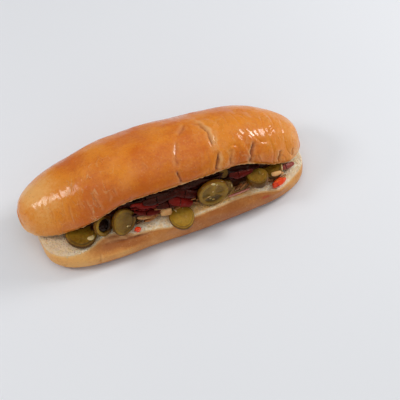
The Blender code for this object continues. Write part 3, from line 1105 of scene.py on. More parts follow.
CREASES = (
    Crease(((32, 25, 80), (25, 16, 83.5), (17, 8.3, 84.6)), 0.9, 1.3, 0.8, 0.2, 0.5),
    Crease(((17, 8.3, 84.6), (11, -4, 84.2), (8.1, -10.2, 83.4), (5, -23.8, 75.3)), 0.9, 1.2, 0.9, 0.2, 0.6),
    Crease(((4.5, -22.5, 76.5), (5.2, -26, 72.5), (5, -28.6, 68.5), (7.5, -29.6, 60)),
           2.4, 1.0, 1.5, 0.2, 0.9, True),
    Crease(((36, 26, 79), (43, 17, 82.5), (46.6, 5, 84.2), (46, -8, 82.8), (43, -20.4, 78.4)),
           1.3, 1.2, 1.3, 1.3, 0.4),
    Crease(((53, 6, 84), (50, -4, 83.6), (47, -16, 79.8)), 0.4, 1.0, 0.5, 0.9, 0.2),
    Crease(((49.3, -17.5, 79.5), (46.8, -24, 73.5), (43.9, -28.4, 67.3), (43.4, -29.6, 60)),
           2.6, 1.0, 1.7, 1.1, 0.2, True),
    Crease(((62.4, -18.1, 78.3), (60, -23.5, 73.5), (57.4, -28, 66.2)), 0.6, 1.1, 0.9, 0.4, 0.3, True),
    Crease(((88.3, -13.8, 72.8), (82.7, -22.1, 68.4), (79.6, -27.4, 60.7), (77.5, -28.6, 55)),
           2.8, 1.05, 1.8, 0.3, 1.1, True),
    Crease(((80.5, -23, 68.4), (77.4, -27, 61.6), (75.6, -28.8, 55)), 1.0, 0.8, 0.0, 0.3, 0.3, True),
    Crease(((114.9, -19.8, 51.2), (110.8, -24.8, 44.9), (109.6, -26.6, 40)), 1.5, 0.9, 0.9, 0.3, 0.6, True),
    Crease(((130.2, -15.5, 41.6), (127.5, -19.8, 35.3)), 1.0, 0.9, 0.6, 0.3, 0.3, True),
    Crease(((-79.5, -11.5, 76.0), (-77.7, -17.6, 72.5), (-75.5, -24.1, 67.0), (-73.8, -27.1, 63.5)),
           0.5, 0.8, 0.5, 0.6, 0.1, True),
    Crease(((-86.6, -14.5, 70.0), (-84.5, -21.6, 65.3), (-82.7, -26.5, 59.5), (-82.3, -29.5, 51.8)),
           0.4, 0.7, 0.3, 0.6, 0.1, True),
    Crease(((-101.0, -9.9, 64.1), (-101.6, -20.1, 54.8), (-100.1, -23.5, 50.2)), 0.35, 0.7, 0.3, 0.4, 0.1),
    Crease(((-107.9, -6.5, 61.8), (-105.9, -15.8, 56.4), (-106.1, -20.5, 49.6)), 0.3, 0.6, 0.2, 0.35, 0.1),
    Crease(((-91.0, -8.3, 71.2), (-91.3, -18.2, 64.6), (-91.1, -22.4, 60.3)), 0.3, 0.6, 0.2, 0.35, 0.1),
    Crease(((-93.0, 5.0, 73.8), (-93.4, -6.0, 70.8)), 0.3, 0.6, 0.2, 0.35, 0.1),
    Crease(((-65.2, -17.0, 76.6), (-63.9, -24.3, 70.6), (-66.7, -27.0, 65.9)), 0.35, 0.7, 0.3, 0.45, 0.1),
    Crease(((-57.9, -16.5, 78.6), (-57.4, -24.3, 72.0), (-57.0, -26.7, 68.5)), 0.3, 0.6, 0.2, 0.35, 0.1),
    Crease(((-117.9, -1.5, 58.9), (-116.8, -9.6, 54.1), (-117.5, -15.6, 46.1)), 0.3, 0.6, 0.2, 0.3, 0.1),
    Crease(((-24.9, -7.4, 85.7), (-22.5, -15.8, 82.5)), 0.3, 0.6, 0.2, 0.5, 0.1),
    Crease(((-17.1, 9.2, 84.9), (3, 13, 84.6), (23.7, 17.4, 82.9)), -0.45, 1.8),
)

HEEL_CREASES = (
    Crease(((-84, -39.2, 21.6), (-73.5, -38.9, 20.6), (-63.6, -39.8, 21.0), (-52.3, -42.3, 22.2),
            (-40.7, -44.0, 23.2), (-26, -45.5, 23.8)), 1.9, 1.1, 0.4, 0.9, 0.0),
    Crease(((-84.4, -45.2, 18.5), (-84.0, -46.5, 14.5), (-83.4, -48.2, 5.3)), 0.6, 0.7, 0.3, 0.5, 0.1, True),
    Crease(((22.3, -48.7, 15.0), (36, -48.6, 16.0), (48.7, -48.3, 14.0)), 0.25, 1.6, 0.2, 0.2, 0.1),
)


def press_creases(points: np.ndarray, normals: np.ndarray,
                  creases: Sequence[Crease]) -> tuple[np.ndarray, np.ndarray, np.ndarray]:
    """Relief of creases that are drawn as the camera sees them.

    Args:
        points: Points of the crust.
        normals: Outward directions there.
        creases: The creases.

    Returns:
        Outward move, painted shade in the crease's valley and painted highlight on each lip, one of each a
        point.
    """
    total, folds, lips = np.zeros((3, len(points)))
    seen = smoothstep(0.0, 0.3, normals @ np.array(VIEW_BACK))
    flat = np.stack([points @ np.array(VIEW_RIGHT), points @ np.array(VIEW_UP)], 1) / MM
    wander = Unevenness(1.3, 5.5 * MM, 41).at(points) + Unevenness(0.35, 1.7 * MM, 42).at(points)
    deepness = np.clip(0.95 + Unevenness(0.75, 6.5 * MM, 43).at(points), 0.25, 1.7)
    wideness = np.clip(1 + Unevenness(0.55, 5 * MM, 44).at(points), 0.55, 1.7)
    for crease in creases:
        move, fold, pale = crease.press(flat, wander, deepness, wideness)
        total += move * seen
        folds = np.maximum(folds, fold * seen)
        lips = np.maximum(lips, pale * seen)
    return total * MM, np.clip(folds, 0, 1), np.clip(lips, 0, 1)


@dataclass
class CrownBread:
    """The upper half of the roll: a glossy creased crust over a cut face of crumb."""

    roll: Roll
    name: str = "crown_bread"
    section: float = 2.15
    outline: float = 2.6
    lumps: Unevenness = Unevenness(1.4, 34 * MM, 2)
    rim_height: Unevenness = Unevenness(0.7, (4 * MM, 30 * MM, 30 * MM), 12)
    rim_depth: Unevenness = Unevenness(0.8, (3 * MM, 30 * MM, 30 * MM), 13)
    crust_bumps: Unevenness = Unevenness(0.36, 13 * MM, 21)
    crust_grain: Unevenness = Unevenness(0.14, 4.5 * MM, 22)
    wrinkles: Unevenness = Unevenness(0.75, (6 * MM, 18 * MM, 18 * MM), 23)
    panels: Unevenness = Unevenness(1.0, (11 * MM, 30 * MM, 24 * MM), 27)
    crumb_bumps: Unevenness = Unevenness(0.30, 3.0 * MM, 24)
    crumb_pores: Unevenness = Unevenness(1.0, 2.2 * MM, 25)
    browning: Unevenness = Unevenness(0.12, 42 * MM, 26)
    shrink: float = 0.55

    def _shape(self) -> tuple[bpy.types.Mesh, np.ndarray, np.ndarray, np.ndarray]:
        """The half loaf where it lies, before its fine relief.

        Returns:
            Its mesh, its points, their distance from the cut edge in millimetres, and how far
            each is to the front, from 0 to 1.
        """
        roll = self.roll
        loaf = HalfLoaf(roll.crown_length, roll.crown_width, roll.crown_tuck, roll.crown_round,
                        roll.crown_dome, self.section, self.outline)
        mesh, points, edge = loaf.shell()
        crust = points[:, 2] < 0
        raised = (points[:, 2] + MM * self.lumps.at(points)) * roll.dome_swell(points[:, 0])
        points[:, 2] = np.where(crust, raised, points[:, 2])
        back = smoothstep(2 * MM, 18 * MM, -points[:, 2]) * smoothstep(-20 * MM, 24 * MM, points[:, 1])
        points[:, 1] += roll.back_swell(points[:, 0]) * back
        front = smoothstep(8 * MM, -16 * MM, points[:, 1])
        points = roll.crown_points(points)
        on_rim = MM * hill(edge, 1.6)
        points[:, 2] += on_rim * self.rim_height.at(points)
        points[:, 1] += on_rim * self.rim_depth.at(points)
        mesh.flip_normals()
        write_points(mesh, points)
        return mesh, points, edge, front

    def _bake(self, points: np.ndarray, normals: np.ndarray, edge: np.ndarray) -> np.ndarray:
        """How brown the crust is, with painted shade: browner on its steep and downward faces and paler on
        top, least at its ends and by the cut edge.

        Args:
            points: Points of the crown.
            normals: Outward directions there.
            edge: Distance from the cut edge in millimetres.

        Returns:
            One value a point.
        """
        upward = normals[:, 2]
        # Painted shade: the crust is painted browner where it faces sideways and down, and paler where it
        # faces up
        bake = 0.66 - 0.06 * smoothstep(-0.2, 0.9, upward) + 0.12 * smoothstep(0.92, 0.4, upward)
        bake += self.browning.at(points) - 0.08 * hill(edge, 7.0)
        bake -= 0.50 * smoothstep(84 * MM, 138 * MM, -points[:, 0])
        bake -= 0.10 * smoothstep(10 * MM, 60 * MM, points[:, 0])
        return bake - 0.34 * smoothstep(96 * MM, 138 * MM, points[:, 0])

    def build(self, material: bpy.types.Material) -> bpy.types.Object:
        """The crown, dressed.

        Args:
            material: The bread's finish.

        Returns:
            The piece.
        """
        mesh, points, edge, front = self._shape()
        normals = read_normals(mesh)
        on_crust = smoothstep(0.0, 3.0, edge)
        # press_creases gives painted shade for the crease valleys and, as pale, a painted highlight for their
        # lips
        creased, fold, pale = press_creases(points, normals, CREASES)
        right = smoothstep(10 * MM, 60 * MM, points[:, 0])
        rough = self.crust_bumps.at(points) + self.crust_grain.at(points) - self.shrink
        rough += right * front * self.wrinkles.at(points)
        rough -= (0.2 + 0.5 * right) * front * hill(self.panels.at(points), 0.06)
        crumb = self.crumb_bumps.at(points) - 0.5 * np.maximum(0, self.crumb_pores.at(points) - 0.2)
        crumb *= (1 - on_crust) * smoothstep(0.0, -1.0, edge)
        move = (creased + rough * MM) * on_crust + crumb * MM
        write_points(mesh, points + normals * move[:, None])
        crackle = 0.06 + (0.6 * hill(points[:, 0] + 88 * MM, 34 * MM) + 0.3 * right) * front ** 3
        # Painted highlight on the crease lips, plus a pale band along the cut edge
        ridge = (0.55 + 0.3 * right) * pale + 0.3 * hill(edge - 1.4, 1.2)
        inside = smoothstep(-46 * MM, -30 * MM, -np.abs(points[:, 1]))
        none = np.zeros(len(points))
        note(mesh, rim=edge, bake=self._bake(points, normals, edge), fold=fold * on_crust,
             ridge=np.clip(ridge, 0, 1) * on_crust, crackle=np.clip(crackle, 0, 1), soak=0.6 * inside,
             stain=none, cream=none)
        return finish_piece(mesh, self.name, material, ("crown",))


@dataclass
class HeelBread:
    """The lower half of the roll: a paler crust below an open cut face."""

    roll: Roll
    name: str = "heel_bread"
    section: float = 3.3
    outline: float = 3.2
    cut_sides: int = 84
    lumps: Unevenness = Unevenness(1.0, 30 * MM, 1)
    rim_line: Unevenness = Unevenness(1.0, 17 * MM, 4)
    rim_height: Unevenness = Unevenness(0.6, 5 * MM, 14)
    rim_depth: Unevenness = Unevenness(0.8, 3.5 * MM, 15)
    crust_bumps: Unevenness = Unevenness(0.32, 11 * MM, 31)
    crust_grain: Unevenness = Unevenness(0.12, 4 * MM, 32)
    crumb_bumps: Unevenness = Unevenness(0.35, 3.4 * MM, 33)
    crumb_pores: Unevenness = Unevenness(1.0, 2.3 * MM, 34)
    browning: Unevenness = Unevenness(0.12, 24 * MM, 35)
    cream_patches: Unevenness = Unevenness(0.4, 5 * MM, 36)

    def _shape(self) -> tuple[bpy.types.Mesh, np.ndarray, np.ndarray, np.ndarray]:
        """The half loaf where it lies, before its fine relief.

        Returns:
            Its mesh, its points, the even x and y of each, and their distance from the cut edge
            in millimetres.
        """
        roll = self.roll
        tuck = roll.cut_height - roll.heel_widest
        loaf = HalfLoaf(roll.heel_length, roll.heel_width, tuck, roll.heel_round, roll.heel_belly,
                        self.section, self.outline, cut_sides=self.cut_sides)
        mesh, points, edge = loaf.shell()
        points[:, 2] = np.maximum(points[:, 2], -roll.heel_widest)
        level = points[:, 2].copy()
        points = roll.heel_points(points)
        even = points[:, :2].copy()
        x, y = even.T
        near_rim = smoothstep(0, tuck, level) * smoothstep(-10 * MM, -42 * MM, y)
        left_end = smoothstep(30 * MM, 120 * MM, -x) * smoothstep(30 * MM, -20 * MM, y)
        line = np.stack([x, 0 * x, 0 * x], 1)
        points[:, 1] += (roll.rim_push(x) + MM * self.rim_line.at(line)) * near_rim
        points[:, 1] -= roll.left_swell * left_end
        points[:, 1] += MM * self.lumps.at(points)
        on_rim = MM * hill(edge, 1.4)
        points[:, 2] += on_rim * (self.rim_height.at(line) - 0.3 * self.rim_height.depth)
        points[:, 1] += on_rim * self.rim_depth.at(line)
        write_points(mesh, points)
        return mesh, points, even, edge

    def _bake(self, points: np.ndarray, x: np.ndarray, front: np.ndarray) -> np.ndarray:
        """How brown the crust is: most on the ledge under the sunken rim, with painted shade darkening it
        towards the table.

        Args:
            points: Points of the heel.
            x: Their even place along the roll.
            front: How far each is to the front.

        Returns:
            One value a point.
        """
        ledge = hill(x + 62 * MM, 24 * MM) * smoothstep(15 * MM, 19 * MM, points[:, 2]) * front
        bake = 0.10 + 0.22 * smoothstep(-115 * MM, -70 * MM, x) + 0.31 * smoothstep(-75 * MM, 30 * MM, x)
        bake -= 0.38 * smoothstep(88 * MM, 126 * MM, x)
        # The last term is painted shade: the crust darkens over its lowest 10 mm, by the table
        return bake + 0.55 * ledge + self.browning.at(points) + 0.42 * smoothstep(10 * MM, MM, points[:, 2])

    def build(self, material: bpy.types.Material) -> bpy.types.Object:
        """The heel, dressed.

        Args:
            material: The bread's finish.

        Returns:
            The piece.
        """
        mesh, points, even, edge = self._shape()
        x, y = even.T
        normals = read_normals(mesh)
        on_crust = smoothstep(0.0, 2.0, edge)
        base = smoothstep(3 * MM, 0.5 * MM, points[:, 2])
        creased, fold, pale = press_creases(points, normals, HEEL_CREASES)
        rough = self.crust_bumps.at(points) + self.crust_grain.at(points) + creased / MM
        crumb = self.crumb_bumps.at(points) - 0.7 * np.maximum(0, self.crumb_pores.at(points) - 0.15)
        crumb *= (1 - on_crust) * smoothstep(-0.2, -1.4, edge)
        points = points + normals * (rough * on_crust * (1 - base) + crumb)[:, None] * MM
        points[:, 2] = np.maximum(points[:, 2], 0.0)
        write_points(mesh, points)
        front = smoothstep(-20 * MM, -36 * MM, points[:, 1])
        inside = smoothstep(-38 * MM, -29 * MM, y) * (1 - smoothstep(120 * MM, 134 * MM, x))
        # Painted shade with some soaking: the crumb at the left end is painted darker
        left_crumb = 0.12 * smoothstep(-84 * MM, -100 * MM, x)
        stain = hill(x - 88 * MM, 7 * MM) * hill(points[:, 2] - 18 * MM, 2.4 * MM) * front
        cream = smoothstep(8 * MM, 16 * MM, x) * (1 - smoothstep(64 * MM, 84 * MM, x))
        cream *= smoothstep(-44 * MM, -40 * MM, y) * (0.8 + self.cream_patches.at(points))
        # The crease notes carry painted shade in the valleys and painted highlights on the lips, as on the
        # crown
        note(mesh, rim=edge, bake=self._bake(points, x, front), fold=0.8 * fold * on_crust,
             ridge=0.7 * pale * on_crust, crackle=np.full(len(points), 0.25),
             soak=np.maximum(inside * 0.42, left_crumb), stain=0.8 * stain, cream=cream)
        return finish_piece(mesh, self.name, material, ("heel",))


# The filling


class SliceCore(Enum):
    """What the middle of a pepper slice looks like."""

    SEEDED = "seeded"
    HOLLOW = "hollow"
    PLAIN = "plain"


@dataclass(frozen=True)
class PaleBit:
    """A pale chip on the upper face of a slice, its angle and spin in degrees, its size in mm; some are
    slivers of pith and some are painted glints.
    """

    angle: float
    reach: float
    length: float
    width: float
    spin: float
    paleness: float = 0.8


@dataclass
class PepperSlice:
    """A round slice of pickled pepper, with skin, flesh, chambers, pith and seeds.

    facing is the compass turn and the elevation of its face, in degrees, 0 0 being the front.
    wall and face_share are shares of the radius and of the ball that the slice is made from.
    """

    node: str
    centre: Point
    facing: Span
    radius: float
    thickness: float
    core: SliceCore = SliceCore.SEEDED
    chambers: int = 3
    turn: float = 0.0
    tint: float = 0.0
    # shade, dark_turn and dark_swing are painted shade: how dark the slice is painted, and towards which side
    # it darkens
    shade: float = 0.2
    dark_turn: float = -90.0
    dark_swing: float = 0.2
    bits: Sequence[PaleBit] = ()
    sides: int = 96
    rings: int = 60
    face_share: float = 0.43
    wall: float = 0.74
    face_bumps: Unevenness = Unevenness(0.18, 2.6 * MM, 147)
    edge_bumps: Unevenness = Unevenness(0.012, 5 * MM, 52)
    patches: Unevenness = Unevenness(0.15, 4 * MM, 53)

    @property
    def name(self) -> str:
        """Name of the piece."""
        return self.node.replace("slice", "ring")

    def _place(self) -> Matrix:
        """Where the slice lies.

        Returns:
            Its turn and place.
        """
        compass, elevation = self.facing
        face_up = Matrix.Rotation(math.radians(compass), 4, "Z")
        face_up = face_up @ Matrix.Rotation(math.radians(90 - elevation), 4, "X")
        return Matrix.Translation(Vector(self.centre) * MM) @ face_up

    def _sunk(self, share: np.ndarray, angle: np.ndarray) -> tuple[np.ndarray, np.ndarray, np.ndarray]:
        """The middle of the slice.

        Args:
            share: Each point's distance from the middle, as a share of the radius.
            angle: Its angle round the middle.

        Returns:
            How far the face is sunk as a share of the thickness, how much painted shade its hollows get, and
            how pithy.
        """
        inside = 1 - smoothstep(self.wall - 0.10, self.wall + 0.02, share)
        # Painted shade: towards dark_turn the hollows and the groove are painted darker and the pale line
        # fainter
        darker = 0.5 + 0.5 * np.cos(angle - math.radians(self.dark_turn))
        line = 0.5 * hill(share - self.wall - 0.03, 0.035) * (1 - 0.4 * darker)
        if self.core is SliceCore.HOLLOW:
            return 0.44 * inside, inside, line
        if self.core is SliceCore.PLAIN:
            centre = 1 - smoothstep(0.52, 0.78, share)
            groove = hill(share - self.wall, 0.04) * darker
            veins = hill(np.sin((angle - self.turn) * self.chambers / 2), 0.16) * centre
            return 0.07 * centre + 0.05 * groove, 0.8 * groove + 0.16 * veins, self.tint * centre + line
        wander = angle + 0.30 * np.sin(angle * 2 + self.turn) + 0.12 * np.sin(angle * 3 + share * 5)
        rib = smoothstep(0.45, 0.9, np.cos((wander - self.turn) * self.chambers))
        middle = 1.2 * hill(share, 0.24)
        opened = inside * (1 - np.clip(rib + middle, 0, 1)) * (0.3 + 0.7 * darker)
        closed = inside * (1 - opened)
        return 0.06 * closed + 0.40 * opened, 0.72 * opened, 0.22 * closed + line

    def _form(self, ball: np.ndarray) -> tuple[np.ndarray, dict[str, np.ndarray]]:
        """The slice round its own middle.

        Args:
            ball: Points of a ball of radius 1.

        Returns:
            The slice's point for each of them, and the notes for its finish.
        """
        radius, half = self.radius * MM, self.thickness * MM / 2
        edge = min(half * 0.62, 1.5 * MM)
        angle = np.arctan2(ball[:, 1], ball[:, 0])
        polar = np.arccos(np.clip(ball[:, 2], -1, 1)) / math.pi
        from_pole = np.minimum(polar, 1 - polar) / self.face_share
        face = from_pole <= 1
        lean = np.clip((from_pole - 1) / (0.5 / self.face_share - 1), 0, 1) * math.pi / 2
        reach = np.where(face, from_pole * (radius - edge), radius - edge + edge * np.sin(lean) ** 0.8)
        sunk, hollow, pith = self._sunk(reach / radius, angle)
        height = half * np.where(face, 1.0, np.cos(lean) ** 0.7) - sunk * self.thickness * MM
        height *= np.where(polar < 0.5, 1.0, -1.0)
        skin = smoothstep(radius - edge * 1.1, radius - edge * 0.25, reach)
        skin = np.where(face, skin, np.maximum(skin, smoothstep(0.0, 0.5, lean)))
        reach = reach * (1 + 0.035 * np.sin(2 * angle + radius * 900) + 0.02 * np.sin(3 * angle + self.turn))
        warp = 0.03 * radius * np.sin(2 * angle + 1) * (reach / radius) ** 2
        points = np.stack([np.cos(angle) * reach, np.sin(angle) * reach, height + warp], 1)
        points[:, 2] += MM * self.face_bumps.at(points)
        points[:, :2] *= 1 + self.edge_bumps.at(points)[:, None]
        # Painted shade, darker towards dark_turn, with random patches
        away = np.cos(angle - math.radians(self.dark_turn)) * np.minimum(1.0, reach / radius)
        shade = self.shade + self.dark_swing * away + self.patches.at(points)
        notes = {"skin": skin, "hollow": hollow, "pith": pith * (1 - skin), "shade": shade}
        return points, {name: np.clip(values, 0, 1) for name, values in notes.items()}

    def _chip(self, bm: bmesh.types.BMesh, layer: object, middle: Vector, size: Point, turn: Matrix,
              paleness: float) -> None:
        """Add one small smooth chip, which is a seed, a sliver or a painted glint.

        Args:
            bm: The slice's mesh.
            layer: Where paleness is kept.
            middle: The chip's middle.
            size: Its half sizes in millimetres.
            turn: Its turn.
            paleness: How pale it is.
        """
        made = bmesh.ops.create_icosphere(bm, subdivisions=2, radius=1.0)["verts"]
        for vert in made:
            vert.co = Vector((vert.co.x * size[0], vert.co.y * size[1], vert.co.z * size[2])) * MM
            vert[layer] = paleness
        bmesh.ops.transform(bm, matrix=Matrix.Translation(middle) @ turn, verts=made)

    def _seeds(self, bm: bmesh.types.BMesh, layer: object, chance: random.Random) -> None:
        """Flat drop-shaped seeds that lie in the chambers of the upper face.

        Args:
            bm: The slice's mesh.
            layer: Where paleness is kept.
            chance: Where the draws come from.
        """
        for number in range(self.chambers * 2):
            angle = self.turn + math.pi / self.chambers * (1 + 2 * (number // 2))
            angle += chance.uniform(-0.6, 0.6)
            reach = self.radius * MM * chance.uniform(0.2, 0.58)
            lift = self.thickness * MM * chance.uniform(0.06, 0.18)
            spin = Matrix.Rotation(chance.uniform(0, math.pi), 4, "Z")
            spin = Matrix.Rotation(chance.uniform(-0.4, 0.4), 4, "X") @ spin
            middle = Vector((math.cos(angle) * reach, math.sin(angle) * reach, lift))
            long = chance.uniform(0.9, 1.6)
            self._chip(bm, layer, middle, (long, long * 0.7, 0.5), spin, chance.uniform(0.1, 0.4))

    def _slivers(self, bm: bmesh.types.BMesh, layer: object) -> None:
        """The pale chips on the upper face: slivers, and painted glints.

        Args:
            bm: The slice's mesh.
            layer: Where paleness is kept.
        """
        for bit in self.bits:
            angle = math.radians(bit.angle)
            reach = self.radius * MM * bit.reach
            middle = Vector((math.cos(angle) * reach, math.sin(angle) * reach, self.thickness * MM / 2))
            self._chip(bm, layer, middle, (bit.length / 2, bit.width / 2, 0.6),
                       Matrix.Rotation(math.radians(bit.spin), 4, "Z"), bit.paleness)

    def build(self, material: bpy.types.Material) -> bpy.types.Object:
        """The slice, dressed.

        Args:
            material: The pepper's finish.

        Returns:
            The piece.
        """
        bm = bmesh.new()
        layers = {name: bm.verts.layers.float.new(name)
                  for name in ("skin", "hollow", "pith", "seed", "shade")}
        bmesh.ops.create_uvsphere(bm, u_segments=self.sides, v_segments=self.rings, radius=1.0)
        points, notes = self._form(np.array([vert.co[:] for vert in bm.verts]))
        for number, vert in enumerate(bm.verts):
            vert.co = Vector(points[number])
            for name, values in notes.items():
                vert[layers[name]] = float(values[number])
        if self.core is SliceCore.SEEDED:
            self._seeds(bm, layers["seed"], random.Random(int(self.radius * 10) + self.chambers))
        self._slivers(bm, layers["seed"])
        bmesh.ops.transform(bm, matrix=self._place(), verts=bm.verts)
        mesh = mesh_of(bm, self.name)
        return finish_piece(mesh, self.name, material, (self.node,))


# The shade of each slice is painted shade, deepest on slices 2, 8 and 10; the pale bits on slices 1 and 6 are
# painted glints
SLICES = (
    PepperSlice("pepper_slice_1", (-94.6, -24.4, 28.5), (8, 81), 15.2, 4.0, SliceCore.PLAIN,
                shade=0.42, wall=0.80, bits=(PaleBit(-60, 0.68, 6.6, 4.6, -20, 0.9),
                                            PaleBit(-50, 0.76, 5.0, 3.4, 50, 0.7))),
    PepperSlice("pepper_slice_2", (-73.4, -28.3, 36.6), (28, 22), 11.3, 4.2, SliceCore.HOLLOW,
                tint=0.3, shade=0.6, dark_turn=-5, dark_swing=1.1, wall=0.66),
    PepperSlice("pepper_slice_3", (-54.9, -34.0, 39.9), (15, 26), 13.2, 4.4, SliceCore.PLAIN,
                2, 2.0, tint=0.5, shade=0.5, dark_turn=-30, dark_swing=0.25, wall=0.70,
                bits=(PaleBit(-75, 0.42, 2.2, 1.6, 30, 0.8), PaleBit(-60, 0.55, 1.6, 1.0, 0, 0.6),
                      PaleBit(10, 0.86, 6.0, 0.8, 80, 0.35))),
    PepperSlice("pepper_slice_4", (-42.8, -24.9, 38.4), (24, 24), 11.0, 3.6, SliceCore.HOLLOW,
                shade=0.5),
    PepperSlice("pepper_slice_5", (0.6, -43.4, 28.8), (4, 86), 12.8, 3.4, SliceCore.PLAIN, 5, 0.4,
                tint=0.25, shade=-0.3, dark_turn=-100, dark_swing=0.35, wall=0.84,
                bits=(PaleBit(105, 0.86, 8.0, 2.0, 96, 1.0), PaleBit(80, 0.80, 3.0, 1.2, 10, 0.5),
                      PaleBit(60, 0.76, 2.4, 1.0, 60, 0.45), PaleBit(-20, 0.3, 3.0, 0.8, 70, 0.3))),
    PepperSlice("pepper_slice_6", (35.9, -35.8, 41.3), (-3, 13), 15.2, 4.4, SliceCore.SEEDED,
                3, -0.5, shade=0.25, dark_turn=-95, dark_swing=0.2, wall=0.74,
                bits=(PaleBit(88, 0.80, 5.0, 2.4, -20, 0.9), PaleBit(70, 0.72, 2.4, 1.2, 40, 0.7),
                      PaleBit(200, 0.36, 3.6, 0.8, 10, 0.6), PaleBit(100, 0.2, 2.2, 0.9, 60, 0.7))),
    PepperSlice("pepper_slice_7", (48.6, -31.6, 36.4), (6, 16), 9.8, 3.4, SliceCore.PLAIN,
                shade=0.5, bits=(PaleBit(0, 0.84, 5.0, 1.2, 90, 0.6),)),
    PepperSlice("pepper_slice_8", (50.4, -24.8, 52.2), (-10, 35), 5.4, 2.9, SliceCore.PLAIN,
                tint=0.3, shade=0.6),
    PepperSlice("pepper_slice_9", (83.1, -33.8, 38.0), (-4, 98), 11.0, 8.0, SliceCore.PLAIN, 4,
                tint=0.45, shade=0.36, dark_turn=-90, dark_swing=0.1, wall=0.82,
                bits=(PaleBit(30, 0.35, 4.0, 0.6, 80, 0.35), PaleBit(-10, 0.5, 3.0, 0.6, 50, 0.3))),
    PepperSlice("pepper_slice_10", (102.9, -23.4, 30.2), (-12, 84), 11.4, 3.4, SliceCore.PLAIN,
                shade=0.55, bits=(PaleBit(-8, 0.88, 8.0, 1.5, 84, 0.8),)),
)


@dataclass(frozen=True)
class Strand:
    """A limp strand: points that it follows in millimetres, its size, and its tone."""

    path: Sequence[Point]
    width: float
    thickness: float
    roll: float = 0.0
    twist: float = 0.0
    tone: float = 0.3


@dataclass(frozen=True)
class StrandRange:
    """Spans from which loose strands draw their sizes, in millimetres and degrees."""

    levels: Span
    half_lengths: Span
    headings: Span
    pitches: Span
    widths: Span
    thicknesses: Span
    rolls: Span
    twists: Span
    tones: Span

    def strand(self, path: Sequence[Point], chance: random.Random) -> Strand:
        """A strand along a path, its other sizes drawn."""
        spans = (self.widths, self.thicknesses, self.rolls, self.twists, self.tones)
        return Strand(path, *(chance.uniform(*span) for span in spans))


# Height over which the front of a core varies, and the size and the depth of its bumps there
CORE_BUMPS = ((9 * MM, 11 * MM, 3.0 * MM), (5 * MM, 3.5 * MM, 1.2 * MM))


